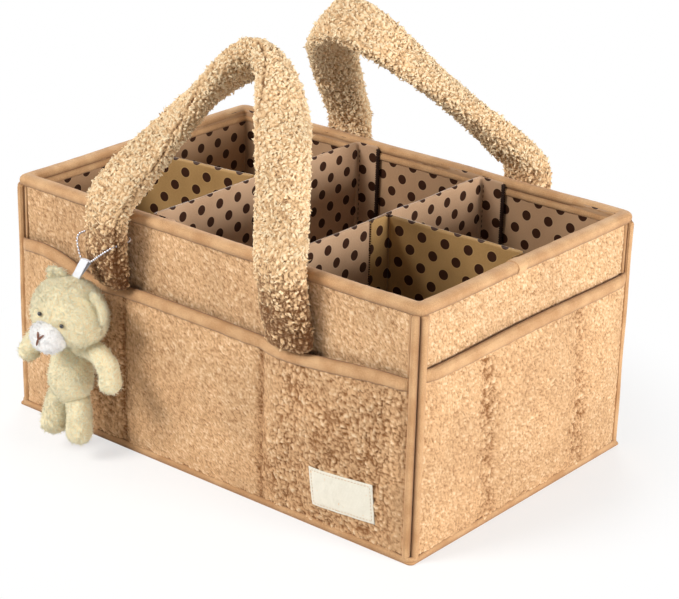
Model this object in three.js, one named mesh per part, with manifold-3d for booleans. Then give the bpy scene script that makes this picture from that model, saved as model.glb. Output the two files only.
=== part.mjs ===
// A soft diaper caddy: plush walls over stiff boards, dotted satin inside, two padded handles,
// outside pockets, four dividers and a small plush bear on a ball chain. Millimetres, +Z up.
// The origin is the centre of the base, on the floor. +X is the right end, -Y is the front.
import * as THREE from "three";
import { mergeVertices } from "three/addons/utils/BufferGeometryUtils.js";
import Module from "manifold-3d";

const wasm = await Module();
wasm.setup();

// Body sizes, over the rim tape
const bodyLength = 381;
const bodyWidth = 254;
const bodyHeight = 187;
const seatGap = 0.3;

// Layers of a wall, from the outside in
const plushThickness = 4;
const boardThickness = 3;
const liningThickness = 1;
const tapeThickness = 1.2;
const baseCoverThickness = 2;

// Tapes and corner strips
const rimTapeLap = 10;
const rimCornerRadius = 6.5;
const bottomTapeHeight = 9;
const bottomCornerRadius = 4.5;
const stripProud = 3.2;
const stripBeadWidth = 6.6;
const stripGroove = 1.8;
const stripReach = 12;

// Outside pockets
const pocketThickness = 2.8;
const hemTapeWidth = 9;
const hemTapeThickness = 4.2;
const frontHemLine = [
  [-182, 138.5], [-170, 141.5], [-150, 142], [-130, 138.5], [-115, 132.5], [-105, 130.2], [-86, 130],
  [-67, 130.3], [-55, 131.5], [-20, 131.8], [20, 131.2], [57, 129], [70, 127], [82, 127.5], [95, 129.2],
  [105, 130.2], [132, 133.3], [163, 135.8], [182, 135.2],
];
const backHemHeight = 129;
const backHemRise = 9;
const endHemHeight = 142;
const frontSeams = [-77, 57];
const backSeams = [-60, 60];
const frontBulges = [11, 8, 10.5];
const backBulges = [9, 8, 9];
const endBulge = 7;

// Label on the third front pocket
const labelWidth = 54;
const labelHeight = 30;
const labelThickness = 0.8;
const labelCentreX = 134;
const labelCentreZ = 36;

// Handles
const strapWidth = 38;
const strapThickness = 20;
const strapStandOff = 3.4;
const strapEndThickness = 13;
const strapFootX = 86;
const strapFootHeight = 130.9;
const strapCoverThickness = 3;
const frontLoop = { rimX: 80, height: 134, shift: 16, lean: 42 };
const backLoop = { rimX: 87, height: 140, shift: -22, lean: 40 };
const knuckleGap = 0.6;

// Dividers
const dividerThickness = 3.2;
const sleeveThickness = 0.6;
const dividerTopDrop = 1;
const crossFlapLength = 20;
const tabLength = 22;
const farFlapLength = 14;
const flapThickness = 1.2;
const leftDividerY = -3;
const rightDividerY = 0;
const leftDividerSkew = 8;
const rightDividerSkew = 3;

// Bear charm and its chain
const chainBead = 2.2;
const chainPitch = 3.2;
const chainNeck = 1;
const chainRise = 16;
const tagWidth = 6;
const tagLength = 16;
const tagPly = 0.8;
const tagEye = 2.1;
const tagLean = 32;
const tagShear = 0.55;
const headSize = new THREE.Vector3(59, 49, 51);
const headNod = 14;
const headTilt = 15;
const headYaw = 5;
const torsoLength = 56;
const torsoFlatShare = 0.8;
const torsoTilt = 4;
const torsoRadii = [8, 13, 16, 17.5, 18, 16.5, 12, 5];
const eyeDiameter = 3.4;
const muzzleSize = new THREE.Vector3(27, 24, 23);
const earSize = new THREE.Vector3(17, 7, 22);
const armRadius = 7.6;
const legRadius = 9.3;

// Steps of the round shapes
const cornerSegments = 4;
const beadSteps = 7;
const pocketColumns = 10;
const pocketRows = 5;
const tapeRows = 3;
const labelColumns = 8;
const labelRows = 2;
const footPoints = 14;
const coverPoints = 14;
const corePoints = 10;
const loopSteps = 26;
const foldSteps = 6;
const pinSides = 24;
const chainSteps = 48;
const chainSides = 5;
const headSteps = [20, 14];
const muzzleSteps = [14, 10];
const earSteps = [12, 10];
const eyeSteps = [8, 6];
const torsoSides = 18;
const limbSides = 10;
const tagSides = 20;

// Places worked out from the sizes above
const plushX = bodyLength / 2 - tapeThickness - seatGap;
const plushY = bodyWidth / 2 - tapeThickness - seatGap;
const boardX = plushX - plushThickness - seatGap;
const boardY = plushY - plushThickness - seatGap;
const liningX = boardX - boardThickness - seatGap;
const liningY = boardY - boardThickness - seatGap;
const innerX = liningX - liningThickness;
const innerY = liningY - liningThickness;
const stripX = plushX + stripProud;
const stripY = plushY + stripProud;
const wallFoot = baseCoverThickness + seatGap;
const wallTop = bodyHeight - tapeThickness - seatGap;
const floorFoot = wallFoot + boardThickness + seatGap;
const floorTop = floorFoot + liningThickness;
const tapeInnerX = innerX - seatGap - tapeThickness;
const tapeInnerY = innerY - seatGap - tapeThickness;

const palette = {
  plush: { color: 0xd6aa78, roughness: 0.95, metalness: 0 },
  handlePlush: { color: 0xdeb987, roughness: 0.95, metalness: 0 },
  tape: { color: 0xcda06e, roughness: 0.8, metalness: 0 },
  satin: { color: 0xb99a80, roughness: 0.45, metalness: 0 },
  board: { color: 0x8d8377, roughness: 0.9, metalness: 0 },
  foam: { color: 0xe8e2d0, roughness: 0.95, metalness: 0 },
  label: { color: 0xe8e4d4, roughness: 0.6, metalness: 0 },
  bear: { color: 0xebdca5, roughness: 0.95, metalness: 0 },
  muzzle: { color: 0xf0f0ee, roughness: 0.95, metalness: 0 },
  eye: { color: 0x14100e, roughness: 0.15, metalness: 0 },
  chain: { color: 0xc8c8cc, roughness: 0.2, metalness: 1 },
};

const caddy = new THREE.Group();

// A closed geometry as a solid that can be joined and cut
function solid(geometry) {
  const bare = geometry.clone();
  bare.deleteAttribute("normal");
  bare.deleteAttribute("uv");
  const merged = mergeVertices(bare, seatGap / 1000);
  const triVerts = new Uint32Array(merged.index.array);
  const vertProperties = merged.attributes.position.array;
  return new wasm.Manifold(new wasm.Mesh({ numProp: 3, vertProperties, triVerts }));
}

// A solid back as a geometry
function geometryOf(made) {
  const mesh = made.getMesh();
  const geometry = new THREE.BufferGeometry();
  geometry.setAttribute("position", new THREE.BufferAttribute(mesh.vertProperties, mesh.numProp));
  geometry.setIndex(new THREE.BufferAttribute(mesh.triVerts, 1));
  return geometry;
}

// A named sub-part, added to its group
function addPart(name, geometry, finish, parent = caddy) {
  const mesh = new THREE.Mesh(geometry, new THREE.MeshStandardMaterial(palette[finish]));
  mesh.name = name;
  parent.add(mesh);
  return mesh;
}

// A block between two values along each axis
function blockBetween(x0, x1, y0, y1, z0, z1) {
  const block = new THREE.BoxGeometry(x1 - x0, y1 - y0, z1 - z0);
  return block.translate((x0 + x1) / 2, (y0 + y1) / 2, (z0 + z1) / 2);
}

// A rectangle with round corners, as an outline
function roundRectangle(halfX, halfY, radius, outline = new THREE.Shape()) {
  const quarter = Math.PI / 2;
  const centres = [[1, 1], [-1, 1], [-1, -1], [1, -1]];
  centres.forEach(([sideX, sideY], k) => {
    const x = sideX * (halfX - radius);
    const y = sideY * (halfY - radius);
    outline.absarc(x, y, radius, k * quarter, (k + 1) * quarter, false);
  });
  return outline;
}

// An outline drawn up from z0 to z1
function drawnUp(outline, z0, z1) {
  const settings = { depth: z1 - z0, bevelEnabled: false, curveSegments: cornerSegments };
  const drawn = new THREE.ExtrudeGeometry(outline, settings);
  return drawn.translate(0, 0, z0);
}

function outlineOf(points) {
  return new THREE.Shape(points.map(([x, y]) => new THREE.Vector2(x, y)));
}

// Wall boards and plush panels: the long walls run between the corners, and the end boards
// stand between the long ones
const baseBoardTop = wallFoot + boardThickness;
const boardSeatX = boardX - boardThickness;
const boardSeatY = boardY - boardThickness;
const panelX = stripX - stripReach - seatGap;
const panelY = stripY - stripReach - seatGap;
const panelBackX = plushX - plushThickness;
const panelBackY = plushY - plushThickness;
const baseBoardX = boardSeatX - seatGap;
const baseBoardY = boardSeatY - seatGap;
function addWall(name, x0, x1, y0, y1, finish, foot = wallFoot, top = wallTop) {
  addPart(name, blockBetween(x0, x1, y0, y1, foot, top), finish);
}
addWall("front_board", -boardX, boardX, -boardY, -boardSeatY, "board");
addWall("back_board", -boardX, boardX, boardSeatY, boardY, "board");
addWall("left_board", -boardX, -boardSeatX, -liningY, liningY, "board");
addWall("right_board", boardSeatX, boardX, -liningY, liningY, "board");
addWall("base_board", -baseBoardX, baseBoardX, -baseBoardY, baseBoardY, "board", wallFoot, baseBoardTop);
addWall("front_panel", -panelX, panelX, -plushY, -panelBackY, "plush");
addWall("back_panel", -panelX, panelX, panelBackY, plushY, "plush");
addWall("left_panel", -plushX, -panelBackX, -panelY, panelY, "plush");
addWall("right_panel", panelBackX, plushX, -panelY, panelY, "plush");
const coverCornerRadius = bottomCornerRadius - tapeThickness - seatGap;
const coverOutline = roundRectangle(stripX, stripY, coverCornerRadius);
addPart("base_cover", drawnUp(coverOutline, 0, baseCoverThickness), "plush");

// The wall lining is one closed band, and the floor lining lies inside it
const liningCornerRadius = 2 * liningThickness;
const liningBand = roundRectangle(liningX, liningY, liningCornerRadius);
liningBand.holes.push(roundRectangle(innerX, innerY, liningCornerRadius / 2, new THREE.Path()));
addPart("wall_lining", drawnUp(liningBand, floorFoot, wallTop), "satin");
const floorOutline = roundRectangle(innerX - seatGap, innerY - seatGap, liningCornerRadius);
addPart("floor_lining", drawnUp(floorOutline, floorFoot, floorTop), "satin");

// The rim tape is folded over the top edge of all four walls
function rimTape() {
  const foot = bodyHeight - rimTapeLap;
  const under = foot - tapeThickness;
  const outline = roundRectangle(bodyLength / 2, bodyWidth / 2, rimCornerRadius);
  outline.holes.push(roundRectangle(tapeInnerX, tapeInnerY, liningCornerRadius, new THREE.Path()));
  const groove = roundRectangle(plushX + seatGap, plushY + seatGap, rimCornerRadius - tapeThickness);
  groove.holes.push(roundRectangle(innerX - seatGap, innerY - seatGap, liningCornerRadius, new THREE.Path()));
  const whole = solid(drawnUp(outline, foot, bodyHeight));
  return whole.subtract(solid(drawnUp(groove, under, bodyHeight - tapeThickness)));
}
addPart("rim_binding", geometryOf(rimTape()), "tape");

// The bottom tape stands round the feet of the walls and pockets
const bottomInnerX = stripX + seatGap;
const bottomInnerY = stripY + seatGap;
const bottomInnerRadius = bottomCornerRadius - tapeThickness;
const bottomOuterX = bottomInnerX + tapeThickness;
const bottomOuterY = bottomInnerY + tapeThickness;
const bottomBand = roundRectangle(bottomOuterX, bottomOuterY, bottomCornerRadius);
bottomBand.holes.push(roundRectangle(bottomInnerX, bottomInnerY, bottomInnerRadius, new THREE.Path()));
addPart("bottom_binding", drawnUp(bottomBand, seatGap, bottomTapeHeight), "tape");

// A corner strip: two round beads side by side with a groove on the corner, and a seam allowance
// on each wall. p and q are the distances in from the two outer faces.
function stripOutline() {
  const half = stripBeadWidth / 2;
  const middle = stripGroove + half;
  const bead = [];
  for (let i = 0; i <= beadSteps; i++) {
    const turn = (Math.PI * i) / beadSteps;
    const share = (1 - Math.cos(turn)) / 2;
    const base = stripProud * (1 - share) + stripGroove * share;
    bead.push([middle + half * Math.cos(turn), base * (1 - Math.sin(turn))]);
  }
  const back = stripX - boardX - seatGap;
  const mirrored = bead.slice(0, -1).reverse().map(([p, q]) => [q, p]);
  const ends = [[stripProud, stripReach], [back, stripReach], [back, back], [stripReach, back]];
  return [[stripReach, stripProud], ...bead, ...mirrored, ...ends];
}
const stripTop = bodyHeight - rimTapeLap - seatGap;
const corners = [
  ["front_right", 1, -1],
  ["front_left", -1, -1],
  ["back_left", -1, 1],
  ["back_right", 1, 1],
];
for (const [place, sideX, sideY] of corners) {
  const points = stripOutline().map(([p, q]) => [sideX * (stripX - p), sideY * (stripY - q)]);
  addPart(`${place}_corner_binding`, drawnUp(outlineOf(points), wallFoot, stripTop), "tape");
}

// A sheet between two faces that are given as points over a grid
function sheet(columns, rows, facePoint) {
  const positions = [];
  const index = [];
  const at = (side, i, j) => (side * (columns + 1) + i) * (rows + 1) + j;
  for (const side of [0, 1])
    for (let i = 0; i <= columns; i++)
      for (let j = 0; j <= rows; j++) positions.push(...facePoint(side, i, j));
  const quad = (a, b, c, d) => index.push(a, b, c, a, c, d);
  for (let i = 0; i < columns; i++)
    for (let j = 0; j < rows; j++) {
      quad(at(1, i, j), at(1, i + 1, j), at(1, i + 1, j + 1), at(1, i, j + 1));
      quad(at(0, i, j + 1), at(0, i + 1, j + 1), at(0, i + 1, j), at(0, i, j));
    }
  for (let i = 0; i < columns; i++) {
    quad(at(0, i, 0), at(0, i + 1, 0), at(1, i + 1, 0), at(1, i, 0));
    quad(at(1, i, rows), at(1, i + 1, rows), at(0, i + 1, rows), at(0, i, rows));
  }
  for (let j = 0; j < rows; j++) {
    quad(at(0, 0, j + 1), at(0, 0, j), at(1, 0, j), at(1, 0, j + 1));
    quad(at(1, columns, j + 1), at(1, columns, j), at(0, columns, j), at(0, columns, j + 1));
  }
  const geometry = new THREE.BufferGeometry();
  geometry.setAttribute("position", new THREE.Float32BufferAttribute(positions, 3));
  geometry.setIndex(index);
  return geometry;
}

// How far a pocket stands off its wall, along the wall and up it
const bulgeRoundShare = 0.6;
const bulgeRiseShare = 0.55;
const rowFadeShare = 1.5;
function bulgeAlong(at, edges, bulges) {
  for (let i = 0; i < bulges.length; i++) {
    const share = (at - edges[i]) / (edges[i + 1] - edges[i]);
    if (share >= 0 && share <= 1) return bulges[i] * Math.sin(Math.PI * share) ** bulgeRoundShare;
  }
  return 0;
}
function bulgeUp(z, hem) {
  const share = Math.max(0, (z - bottomTapeHeight - seatGap) / (hem - bottomTapeHeight - seatGap));
  return Math.min(1, share) ** bulgeRiseShare;
}

// Height of the hem along each wall
const pocketX = stripX - stripBeadWidth - stripGroove - seatGap;
const pocketY = stripY - stripBeadWidth - stripGroove - seatGap;
function frontHem(x) {
  const line = frontHemLine;
  if (x <= line[0][0]) return line[0][1];
  for (let i = 1; i < line.length; i++) {
    const [before, after] = [line[i - 1], line[i]];
    const share = (x - before[0]) / (after[0] - before[0]);
    if (share <= 1) return before[1] + (after[1] - before[1]) * share;
  }
  return line[line.length - 1][1];
}
function backHem(x) {
  const share = Math.max(0, (Math.abs(x) - backSeams[1]) / (pocketX - backSeams[1]));
  return backHemHeight + backHemRise * share ** 2;
}
const endHem = () => endHemHeight;

// A pocket sheet and its hem tape. wall turns (along, out, up) into a point of the caddy.
const tapeRoundShares = [0.72, 1, 1, 0.6];
function addPocket(name, wall, halfLength, seams, bulges, hemAt) {
  const edges = [-halfLength, ...seams, halfLength];
  const stations = [-halfLength];
  for (let k = 0; k + 1 < edges.length; k++)
    for (let i = 1; i <= pocketColumns; i++) {
      const share = (1 - Math.cos((Math.PI * i) / pocketColumns)) / 2;
      stations.push(edges[k] + (edges[k + 1] - edges[k]) * share);
    }
  const columns = stations.length - 1;
  const offAt = (a, z) => seatGap + bulgeAlong(a, edges, bulges) * bulgeUp(z, hemAt(a));
  const sheetFoot = bottomTapeHeight + seatGap;
  const pocket = sheet(columns, pocketRows, (side, i, j) => {
    const a = stations[i];
    const top = hemAt(a) - hemTapeWidth - seatGap;
    const share = (j - 1) / (pocketRows - 1);
    const z = j === 0 ? wallFoot : sheetFoot + (top - sheetFoot) * share ** rowFadeShare;
    return wall(a, offAt(a, z) + side * pocketThickness, z);
  });
  addPart(`${name}_pocket`, pocket, "plush");
  const tape = sheet(columns, tapeRows, (side, i, j) => {
    const a = stations[i];
    const z = hemAt(a) - hemTapeWidth + (hemTapeWidth * j) / tapeRows;
    return wall(a, offAt(a, z) + side * hemTapeThickness * tapeRoundShares[j], z);
  });
  addPart(`${name}_pocket_binding`, tape, "tape");
}
const frontWall = (a, out, z) => [a, -plushY - out, z];
const backWall = (a, out, z) => [-a, plushY + out, z];
const rightWall = (a, out, z) => [plushX + out, a, z];
const leftWall = (a, out, z) => [-plushX - out, -a, z];
addPocket("front", frontWall, pocketX, frontSeams, frontBulges, frontHem);
addPocket("back", backWall, pocketX, backSeams, backBulges, backHem);
addPocket("right", rightWall, pocketY, [], [endBulge], endHem);
addPocket("left", leftWall, pocketY, [], [endBulge], endHem);

// The label follows the face of the third front pocket
const frontEdges = [-pocketX, ...frontSeams, pocketX];
const labelSheet = sheet(labelColumns, labelRows, (side, i, j) => {
  const a = labelCentreX + labelWidth * (i / labelColumns - 1 / 2);
  const z = labelCentreZ + labelHeight * (j / labelRows - 1 / 2);
  const off = bulgeAlong(a, frontEdges, frontBulges) * bulgeUp(z, frontHem(a));
  return frontWall(a, 2 * seatGap + pocketThickness + off + side * labelThickness, z);
});
addPart("sewn_label", labelSheet, "label");

// Rings of points joined into one closed skin, with flat ends unless it closes on itself
function skin(rings, closes = false) {
  const positions = rings.flat().flatMap((p) => [p.x, p.y, p.z]);
  const count = rings[0].length;
  const index = [];
  const last = closes ? rings.length : rings.length - 1;
  for (let i = 0; i < last; i++)
    for (let j = 0; j < count; j++) {
      const here = i * count;
      const next = ((i + 1) % rings.length) * count;
      const k = (j + 1) % count;
      index.push(here + j, here + k, next + k, here + j, next + k, next + j);
    }
  if (!closes) {
    const end = (rings.length - 1) * count;
    for (let j = 1; j + 1 < count; j++) {
      index.push(0, j + 1, j);
      index.push(end, end + j, end + j + 1);
    }
  }
  const geometry = new THREE.BufferGeometry();
  geometry.setAttribute("position", new THREE.Float32BufferAttribute(positions, 3));
  geometry.setIndex(index);
  return geometry;
}

// A strap's section: a flat oval, across along one direction and through along the other
const strapRoundShare = 0.8;
function strapRing(centre, across, through, width, thickness, count) {
  const ring = [];
  for (let i = 0; i < count; i++) {
    const turn = (2 * Math.PI * i) / count;
    const c = Math.sign(Math.cos(turn)) * Math.abs(Math.cos(turn)) ** strapRoundShare;
    const s = Math.sign(Math.sin(turn)) * Math.abs(Math.sin(turn)) ** strapRoundShare;
    const point = centre.clone();
    point.addScaledVector(across, (c * width) / 2).addScaledVector(through, (s * thickness) / 2);
    ring.push(point);
  }
  return ring;
}

const hingeY = plushY + strapStandOff + strapThickness / 2;
const hingeZ = bodyHeight + strapThickness / 2;
const knuckle = strapThickness / 2;

// The lower end of a strap: it lies on the wall above the hem, stands off it further up and ends
// in a round knuckle about the fold. side is -1 or 1 along X, and the wall is at the front.
function strapFoot(side, rimX) {
  const rise = hingeZ + strapThickness - strapFootHeight;
  const levelShares = [0, 0.14, 0.34, 0.62, 1];
  const offShares = [0, 0, 0.75, 1, 1];
  const thickShares = [0, 0.55, 1, 1, 1];
  const across = new THREE.Vector3(1, 0, 0);
  const through = new THREE.Vector3(0, 1, 0);
  const rings = levelShares.map((share, i) => {
    const z = strapFootHeight + rise * share;
    const slant = Math.min(1, (z - strapFootHeight) / (hingeZ - strapFootHeight));
    const thickness = strapEndThickness + (strapThickness - strapEndThickness) * thickShares[i];
    const off = seatGap + (strapStandOff - seatGap) * offShares[i];
    const x = side * (strapFootX + (rimX - strapFootX) * slant);
    const centre = new THREE.Vector3(x, -plushY - off - thickness / 2, z);
    return strapRing(centre, across, through, strapWidth, thickness, footPoints);
  });
  const half = rimX + strapFootX;
  const below = blockBetween(-half, half, -hingeY - strapThickness, -plushY, 0, hingeZ);
  const pin = new THREE.CylinderGeometry(knuckle, knuckle, 2 * half, pinSides);
  pin.rotateZ(Math.PI / 2).translate(0, -hingeY, hingeZ);
  return solid(skin(rings)).intersect(solid(below).add(solid(pin)));
}

// The loop above the fold, in its own upright plane: the fold is the X axis, the loop rises along Z.
// The strap turns a quarter on its way up, so that it lies flat over the top.
const apexRoundShare = 0.5;
const shiftFadeShare = 1.6;
function loopPoint(share, { rimX, height, shift }) {
  const a = Math.abs(share);
  const reach = Math.hypot(1, apexRoundShare) - apexRoundShare;
  const drop = (Math.hypot(a, apexRoundShare) - apexRoundShare) / reach;
  const x = rimX * share - shift * (1 - a ** shiftFadeShare);
  return new THREE.Vector3(x, 0, height * (1 - drop));
}
function loopSolid(arch, width, thickness, count, foot) {
  const out = new THREE.Vector3(0, 1, 0);
  const rings = [];
  for (let i = 0; i <= loopSteps; i++) {
    const share = -1 + (2 * i) / loopSteps;
    const nudge = 1 / (4 * loopSteps);
    const ahead = loopPoint(Math.min(1, share + nudge), arch);
    const behind = loopPoint(Math.max(-1, share - nudge), arch);
    const along = ahead.clone().sub(behind).normalize();
    const inward = out.clone().cross(along).normalize();
    const turn = (Math.PI / 2) * Math.sin((Math.PI / 2) * (1 - Math.abs(share))) ** 2;
    const through = out.clone().multiplyScalar(Math.cos(turn)).addScaledVector(inward, Math.sin(turn));
    const across = through.clone().cross(along).normalize();
    rings.push(strapRing(loopPoint(share, arch), across, through, width, thickness, count));
  }
  for (const end of [0, loopSteps])
    for (const point of rings[end]) point.z -= strapThickness;
  const half = 2 * arch.rimX;
  const above = blockBetween(-half, half, -half, half, foot, arch.height + strapWidth);
  return solid(skin(rings)).intersect(solid(above));
}
function addHandle(name, turned, arch) {
  const side = new THREE.Group();
  side.rotation.z = turned ? Math.PI : 0;
  caddy.add(side);
  const leftName = turned ? "right" : "left";
  const rightName = turned ? "left" : "right";
  addPart(`${name}_handle_${leftName}_end`, geometryOf(strapFoot(-1, arch.rimX)), "handlePlush", side);
  addPart(`${name}_handle_${rightName}_end`, geometryOf(strapFoot(1, arch.rimX)), "handlePlush", side);
  const loop = new THREE.Group();
  loop.position.set(0, -hingeY, hingeZ);
  loop.rotation.x = THREE.MathUtils.degToRad(-arch.lean);
  side.add(loop);
  const foot = knuckle + knuckleGap;
  const layers = [0, 2 * strapCoverThickness, 2 * strapCoverThickness + 2 * seatGap];
  const feet = [foot, knuckle, foot + seatGap];
  const points = [coverPoints, corePoints, corePoints];
  const [whole, bore, core] = layers.map((taken, k) =>
    loopSolid(arch, strapWidth - taken, strapThickness - taken, points[k], feet[k]),
  );
  addPart(`${name}_handle`, geometryOf(whole.subtract(bore)), "handlePlush", loop);
  addPart(`${name}_handle_core`, geometryOf(core), "foam", loop);
}
addHandle("front", false, frontLoop);
addHandle("back", true, backLoop);

// Cross dividers: a sleeve with a board in it, and a flap along each wall towards the right end
const dividerFoot = floorTop + seatGap;
const dividerTop = bodyHeight - dividerTopDrop;
const dividerBoardTop = dividerTop - sleeveThickness - seatGap;
const crossX = innerX / 3;
const halfDivider = dividerThickness / 2;
const slotHalf = halfDivider - sleeveThickness;
const boardHalf = slotHalf - seatGap;
const flapOutY = tapeInnerY - seatGap;
const flapInY = flapOutY - flapThickness;

// A sleeve is its outline drawn up, with a slot for the board that is open at the foot
function sleeveSolid(outline, x0, x1, y0, y1) {
  const slot = blockBetween(x0, x1, y0, y1, 0, dividerTop - sleeveThickness);
  return solid(drawnUp(outline, dividerFoot, dividerTop)).subtract(solid(slot));
}
for (const [place, side] of [["left", -1], ["right", 1]]) {
  const flapTo = halfDivider + crossFlapLength;
  const outline = outlineOf([
    [-halfDivider, -flapOutY],
    [flapTo, -flapOutY],
    [flapTo, -flapInY],
    [halfDivider, -flapInY],
    [halfDivider, flapInY],
    [flapTo, flapInY],
    [flapTo, flapOutY],
    [-halfDivider, flapOutY],
  ]);
  const divider = new THREE.Group();
  divider.position.x = side * crossX;
  caddy.add(divider);
  const slotY = flapInY - sleeveThickness;
  const sleeve = sleeveSolid(outline, -slotHalf, slotHalf, -slotY, slotY);
  addPart(`${place}_cross_divider`, geometryOf(sleeve), "satin", divider);
  const boardY1 = slotY - seatGap;
  const board = blockBetween(-boardHalf, boardHalf, -boardY1, boardY1, dividerFoot, dividerBoardTop);
  addPart(`${place}_cross_divider_board`, board, "board", divider);
}

// Lengthwise dividers, each in its own frame: the fold is the Z axis and the panel runs along X.
// Its near end is round about the fold, a flap at its far end lies along the end wall, and a tab
// holds the fold to the cross divider.
const tabNearX = crossX + halfDivider + seatGap;
const tabFarX = tabNearX + flapThickness;
const foldX = tabFarX + seatGap + halfDivider;
const panelReach = tapeInnerX - 2 * seatGap - foldX;
function addLengthwise(place, side, foldY, skew) {
  const turn = THREE.MathUtils.degToRad(skew);
  const near = [];
  for (let i = 0; i <= foldSteps; i++) {
    const round = Math.PI / 2 + (Math.PI * i) / foldSteps;
    near.push(new THREE.Vector2(halfDivider * Math.cos(round), halfDivider * Math.sin(round)));
  }
  const alongWall = new THREE.Vector2(-Math.sin(turn), -Math.cos(turn));
  const fromWall = new THREE.Vector2(-Math.cos(turn), Math.sin(turn));
  const corner = new THREE.Vector2(panelReach, halfDivider);
  const tip = corner.clone().addScaledVector(alongWall, dividerThickness + farFlapLength);
  const tipBack = tip.clone().addScaledVector(fromWall, flapThickness);
  const rise = (-halfDivider - tipBack.y) / Math.cos(turn);
  const root = tipBack.clone().addScaledVector(alongWall, -rise);
  const outline = new THREE.Shape([...near, root, tipBack, tip, corner]);
  const frame = new THREE.Group();
  frame.position.set(side * foldX, foldY, 0);
  frame.rotation.z = side > 0 ? turn : Math.PI + turn;
  caddy.add(frame);
  const slotTo = root.x - sleeveThickness;
  const sleeve = sleeveSolid(outline, halfDivider, slotTo, -slotHalf, slotHalf);
  addPart(`${place}_divider`, geometryOf(sleeve), "satin", frame);
  const boardX0 = halfDivider + seatGap;
  const boardX1 = slotTo - seatGap;
  const board = blockBetween(boardX0, boardX1, -boardHalf, boardHalf, dividerFoot, dividerBoardTop);
  addPart(`${place}_divider_board`, board, "board", frame);
  const x0 = side > 0 ? tabNearX : -tabFarX;
  const y0 = side > 0 ? foldY + halfDivider - tabLength : foldY - halfDivider;
  const tab = blockBetween(x0, x0 + flapThickness, y0, y0 + tabLength, dividerFoot, dividerTop);
  addPart(`${place}_divider_tab`, tab, "satin");
}
addLengthwise("right", 1, rightDividerY, rightDividerSkew);
addLengthwise("left", -1, leftDividerY, leftDividerSkew);

// The ball chain goes round the front left strap end: level behind it, down both sides, and
// straight across at the lowest place, where the bear hangs
const hangSide = 5;
const hangOut = 27;
const hangDrop = 35;
const hangAt = new THREE.Vector3(-strapFootX - hangSide, -plushY - hangOut, bodyHeight - hangDrop);
const chainRadius = chainBead / 2;
const chainMiddleX = -strapFootX + strapStandOff / 2;
const chainSlack = 1.2;
const chainReach = strapWidth / 2 + chainRadius + chainSlack;
const chainBackY = -plushY - chainRadius - seatGap;
const chainFlat = 4.6;
const chainRoundShare = 0.5;
function chainPlace(share) {
  const turn = 2 * Math.PI * share - Math.PI / 2;
  const c = Math.sign(Math.cos(turn)) * Math.abs(Math.cos(turn)) ** chainRoundShare;
  const s = Math.sign(Math.sin(turn)) * Math.abs(Math.sin(turn)) ** chainRoundShare;
  const low = hangAt.x - chainMiddleX;
  const x = chainMiddleX + c * chainReach;
  const y = (chainBackY + hangAt.y) / 2 + (s * (chainBackY - hangAt.y)) / 2;
  const off = c * chainReach - low;
  const span = off > 0 ? chainReach - low : chainReach + low;
  const away = s < 0 ? Math.max(0, Math.abs(off) - chainFlat) / (span - chainFlat) : 1;
  const z = hangAt.z + chainRise * away;
  return new THREE.Vector3(x, y, z);
}
const chainLine = new THREE.CatmullRomCurve3(
  Array.from({ length: chainSteps }, (unused, i) => chainPlace(i / chainSteps)),
  true,
);
const chainLength = chainLine.getLength();
const beads = Math.round(chainLength / chainPitch);
const beadRadii = [chainNeck / 2, chainRadius * 0.8, chainRadius, chainRadius * 0.8];
const beadPlaceShares = [0, -0.7, 0, 0.7];
const chainRings = [];
for (let i = 0; i < beads; i++)
  beadRadii.forEach((radius, k) => {
    const middle = (i + (k > 0 ? 1 / 2 : 0)) / beads;
    const place = middle + (beadPlaceShares[k] * chainRadius) / chainLength;
    const centre = chainLine.getPointAt(place);
    const along = chainLine.getTangentAt(place);
    const across = new THREE.Vector3(0, 0, 1).cross(along).normalize();
    const through = along.clone().cross(across);
    const ring = [];
    for (let j = 0; j < chainSides; j++) {
      const turn = (2 * Math.PI * j) / chainSides;
      const point = centre.clone().addScaledVector(across, radius * Math.cos(turn));
      ring.push(point.addScaledVector(through, radius * Math.sin(turn)));
    }
    chainRings.push(ring);
  });
addPart("ball_chain", skin(chainRings, true), "chain");

// The bear hangs in its own frame, whose origin is the lowest place of the chain
const bear = new THREE.Group();
bear.position.copy(hangAt);
caddy.add(bear);
const headAt = new THREE.Vector3(-4.5, -11.5, -36);
const torsoAt = new THREE.Vector3(-8, -9, -87);

function turnedBy(turnX, turnY, turnZ, at) {
  const euler = new THREE.Euler(...[turnX, turnY, turnZ].map(THREE.MathUtils.degToRad), "ZXY");
  const turn = new THREE.Quaternion().setFromEuler(euler);
  return new THREE.Matrix4().compose(at, turn, new THREE.Vector3(1, 1, 1));
}
function oval(size, steps, grown = 0) {
  const half = size.clone().divideScalar(2);
  const ball = new THREE.SphereGeometry(1, ...steps);
  return ball.rotateX(Math.PI / 2).scale(half.x + grown, half.y + grown, half.z + grown);
}
const headPose = turnedBy(headNod, headTilt, headYaw, headAt);
addPart("bear_head", oval(headSize, headSteps).applyMatrix4(headPose), "bear", bear);
const headKeep = solid(oval(headSize, headSteps, seatGap).applyMatrix4(headPose));

// Torso: a pear that leans, with its head end cut to the head
function torsoGeometry(grown) {
  const profile = [new THREE.Vector2(0, -torsoLength / 2 - grown)];
  torsoRadii.toReversed().forEach((radius, i) => {
    const share = (i + 1 / 4) / (torsoRadii.length - 1 / 2);
    profile.push(new THREE.Vector2(radius + grown, torsoLength * (share - 1 / 2)));
  });
  profile.push(new THREE.Vector2(0, torsoLength / 2 + grown));
  const pear = new THREE.LatheGeometry(profile, torsoSides);
  pear.rotateX(Math.PI / 2).scale(1, torsoFlatShare, 1);
  return pear.applyMatrix4(turnedBy(0, torsoTilt, 0, torsoAt));
}
addPart("bear_body", geometryOf(solid(torsoGeometry(0)).subtract(headKeep)), "bear", bear);
const torsoKeep = solid(torsoGeometry(seatGap));

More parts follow.
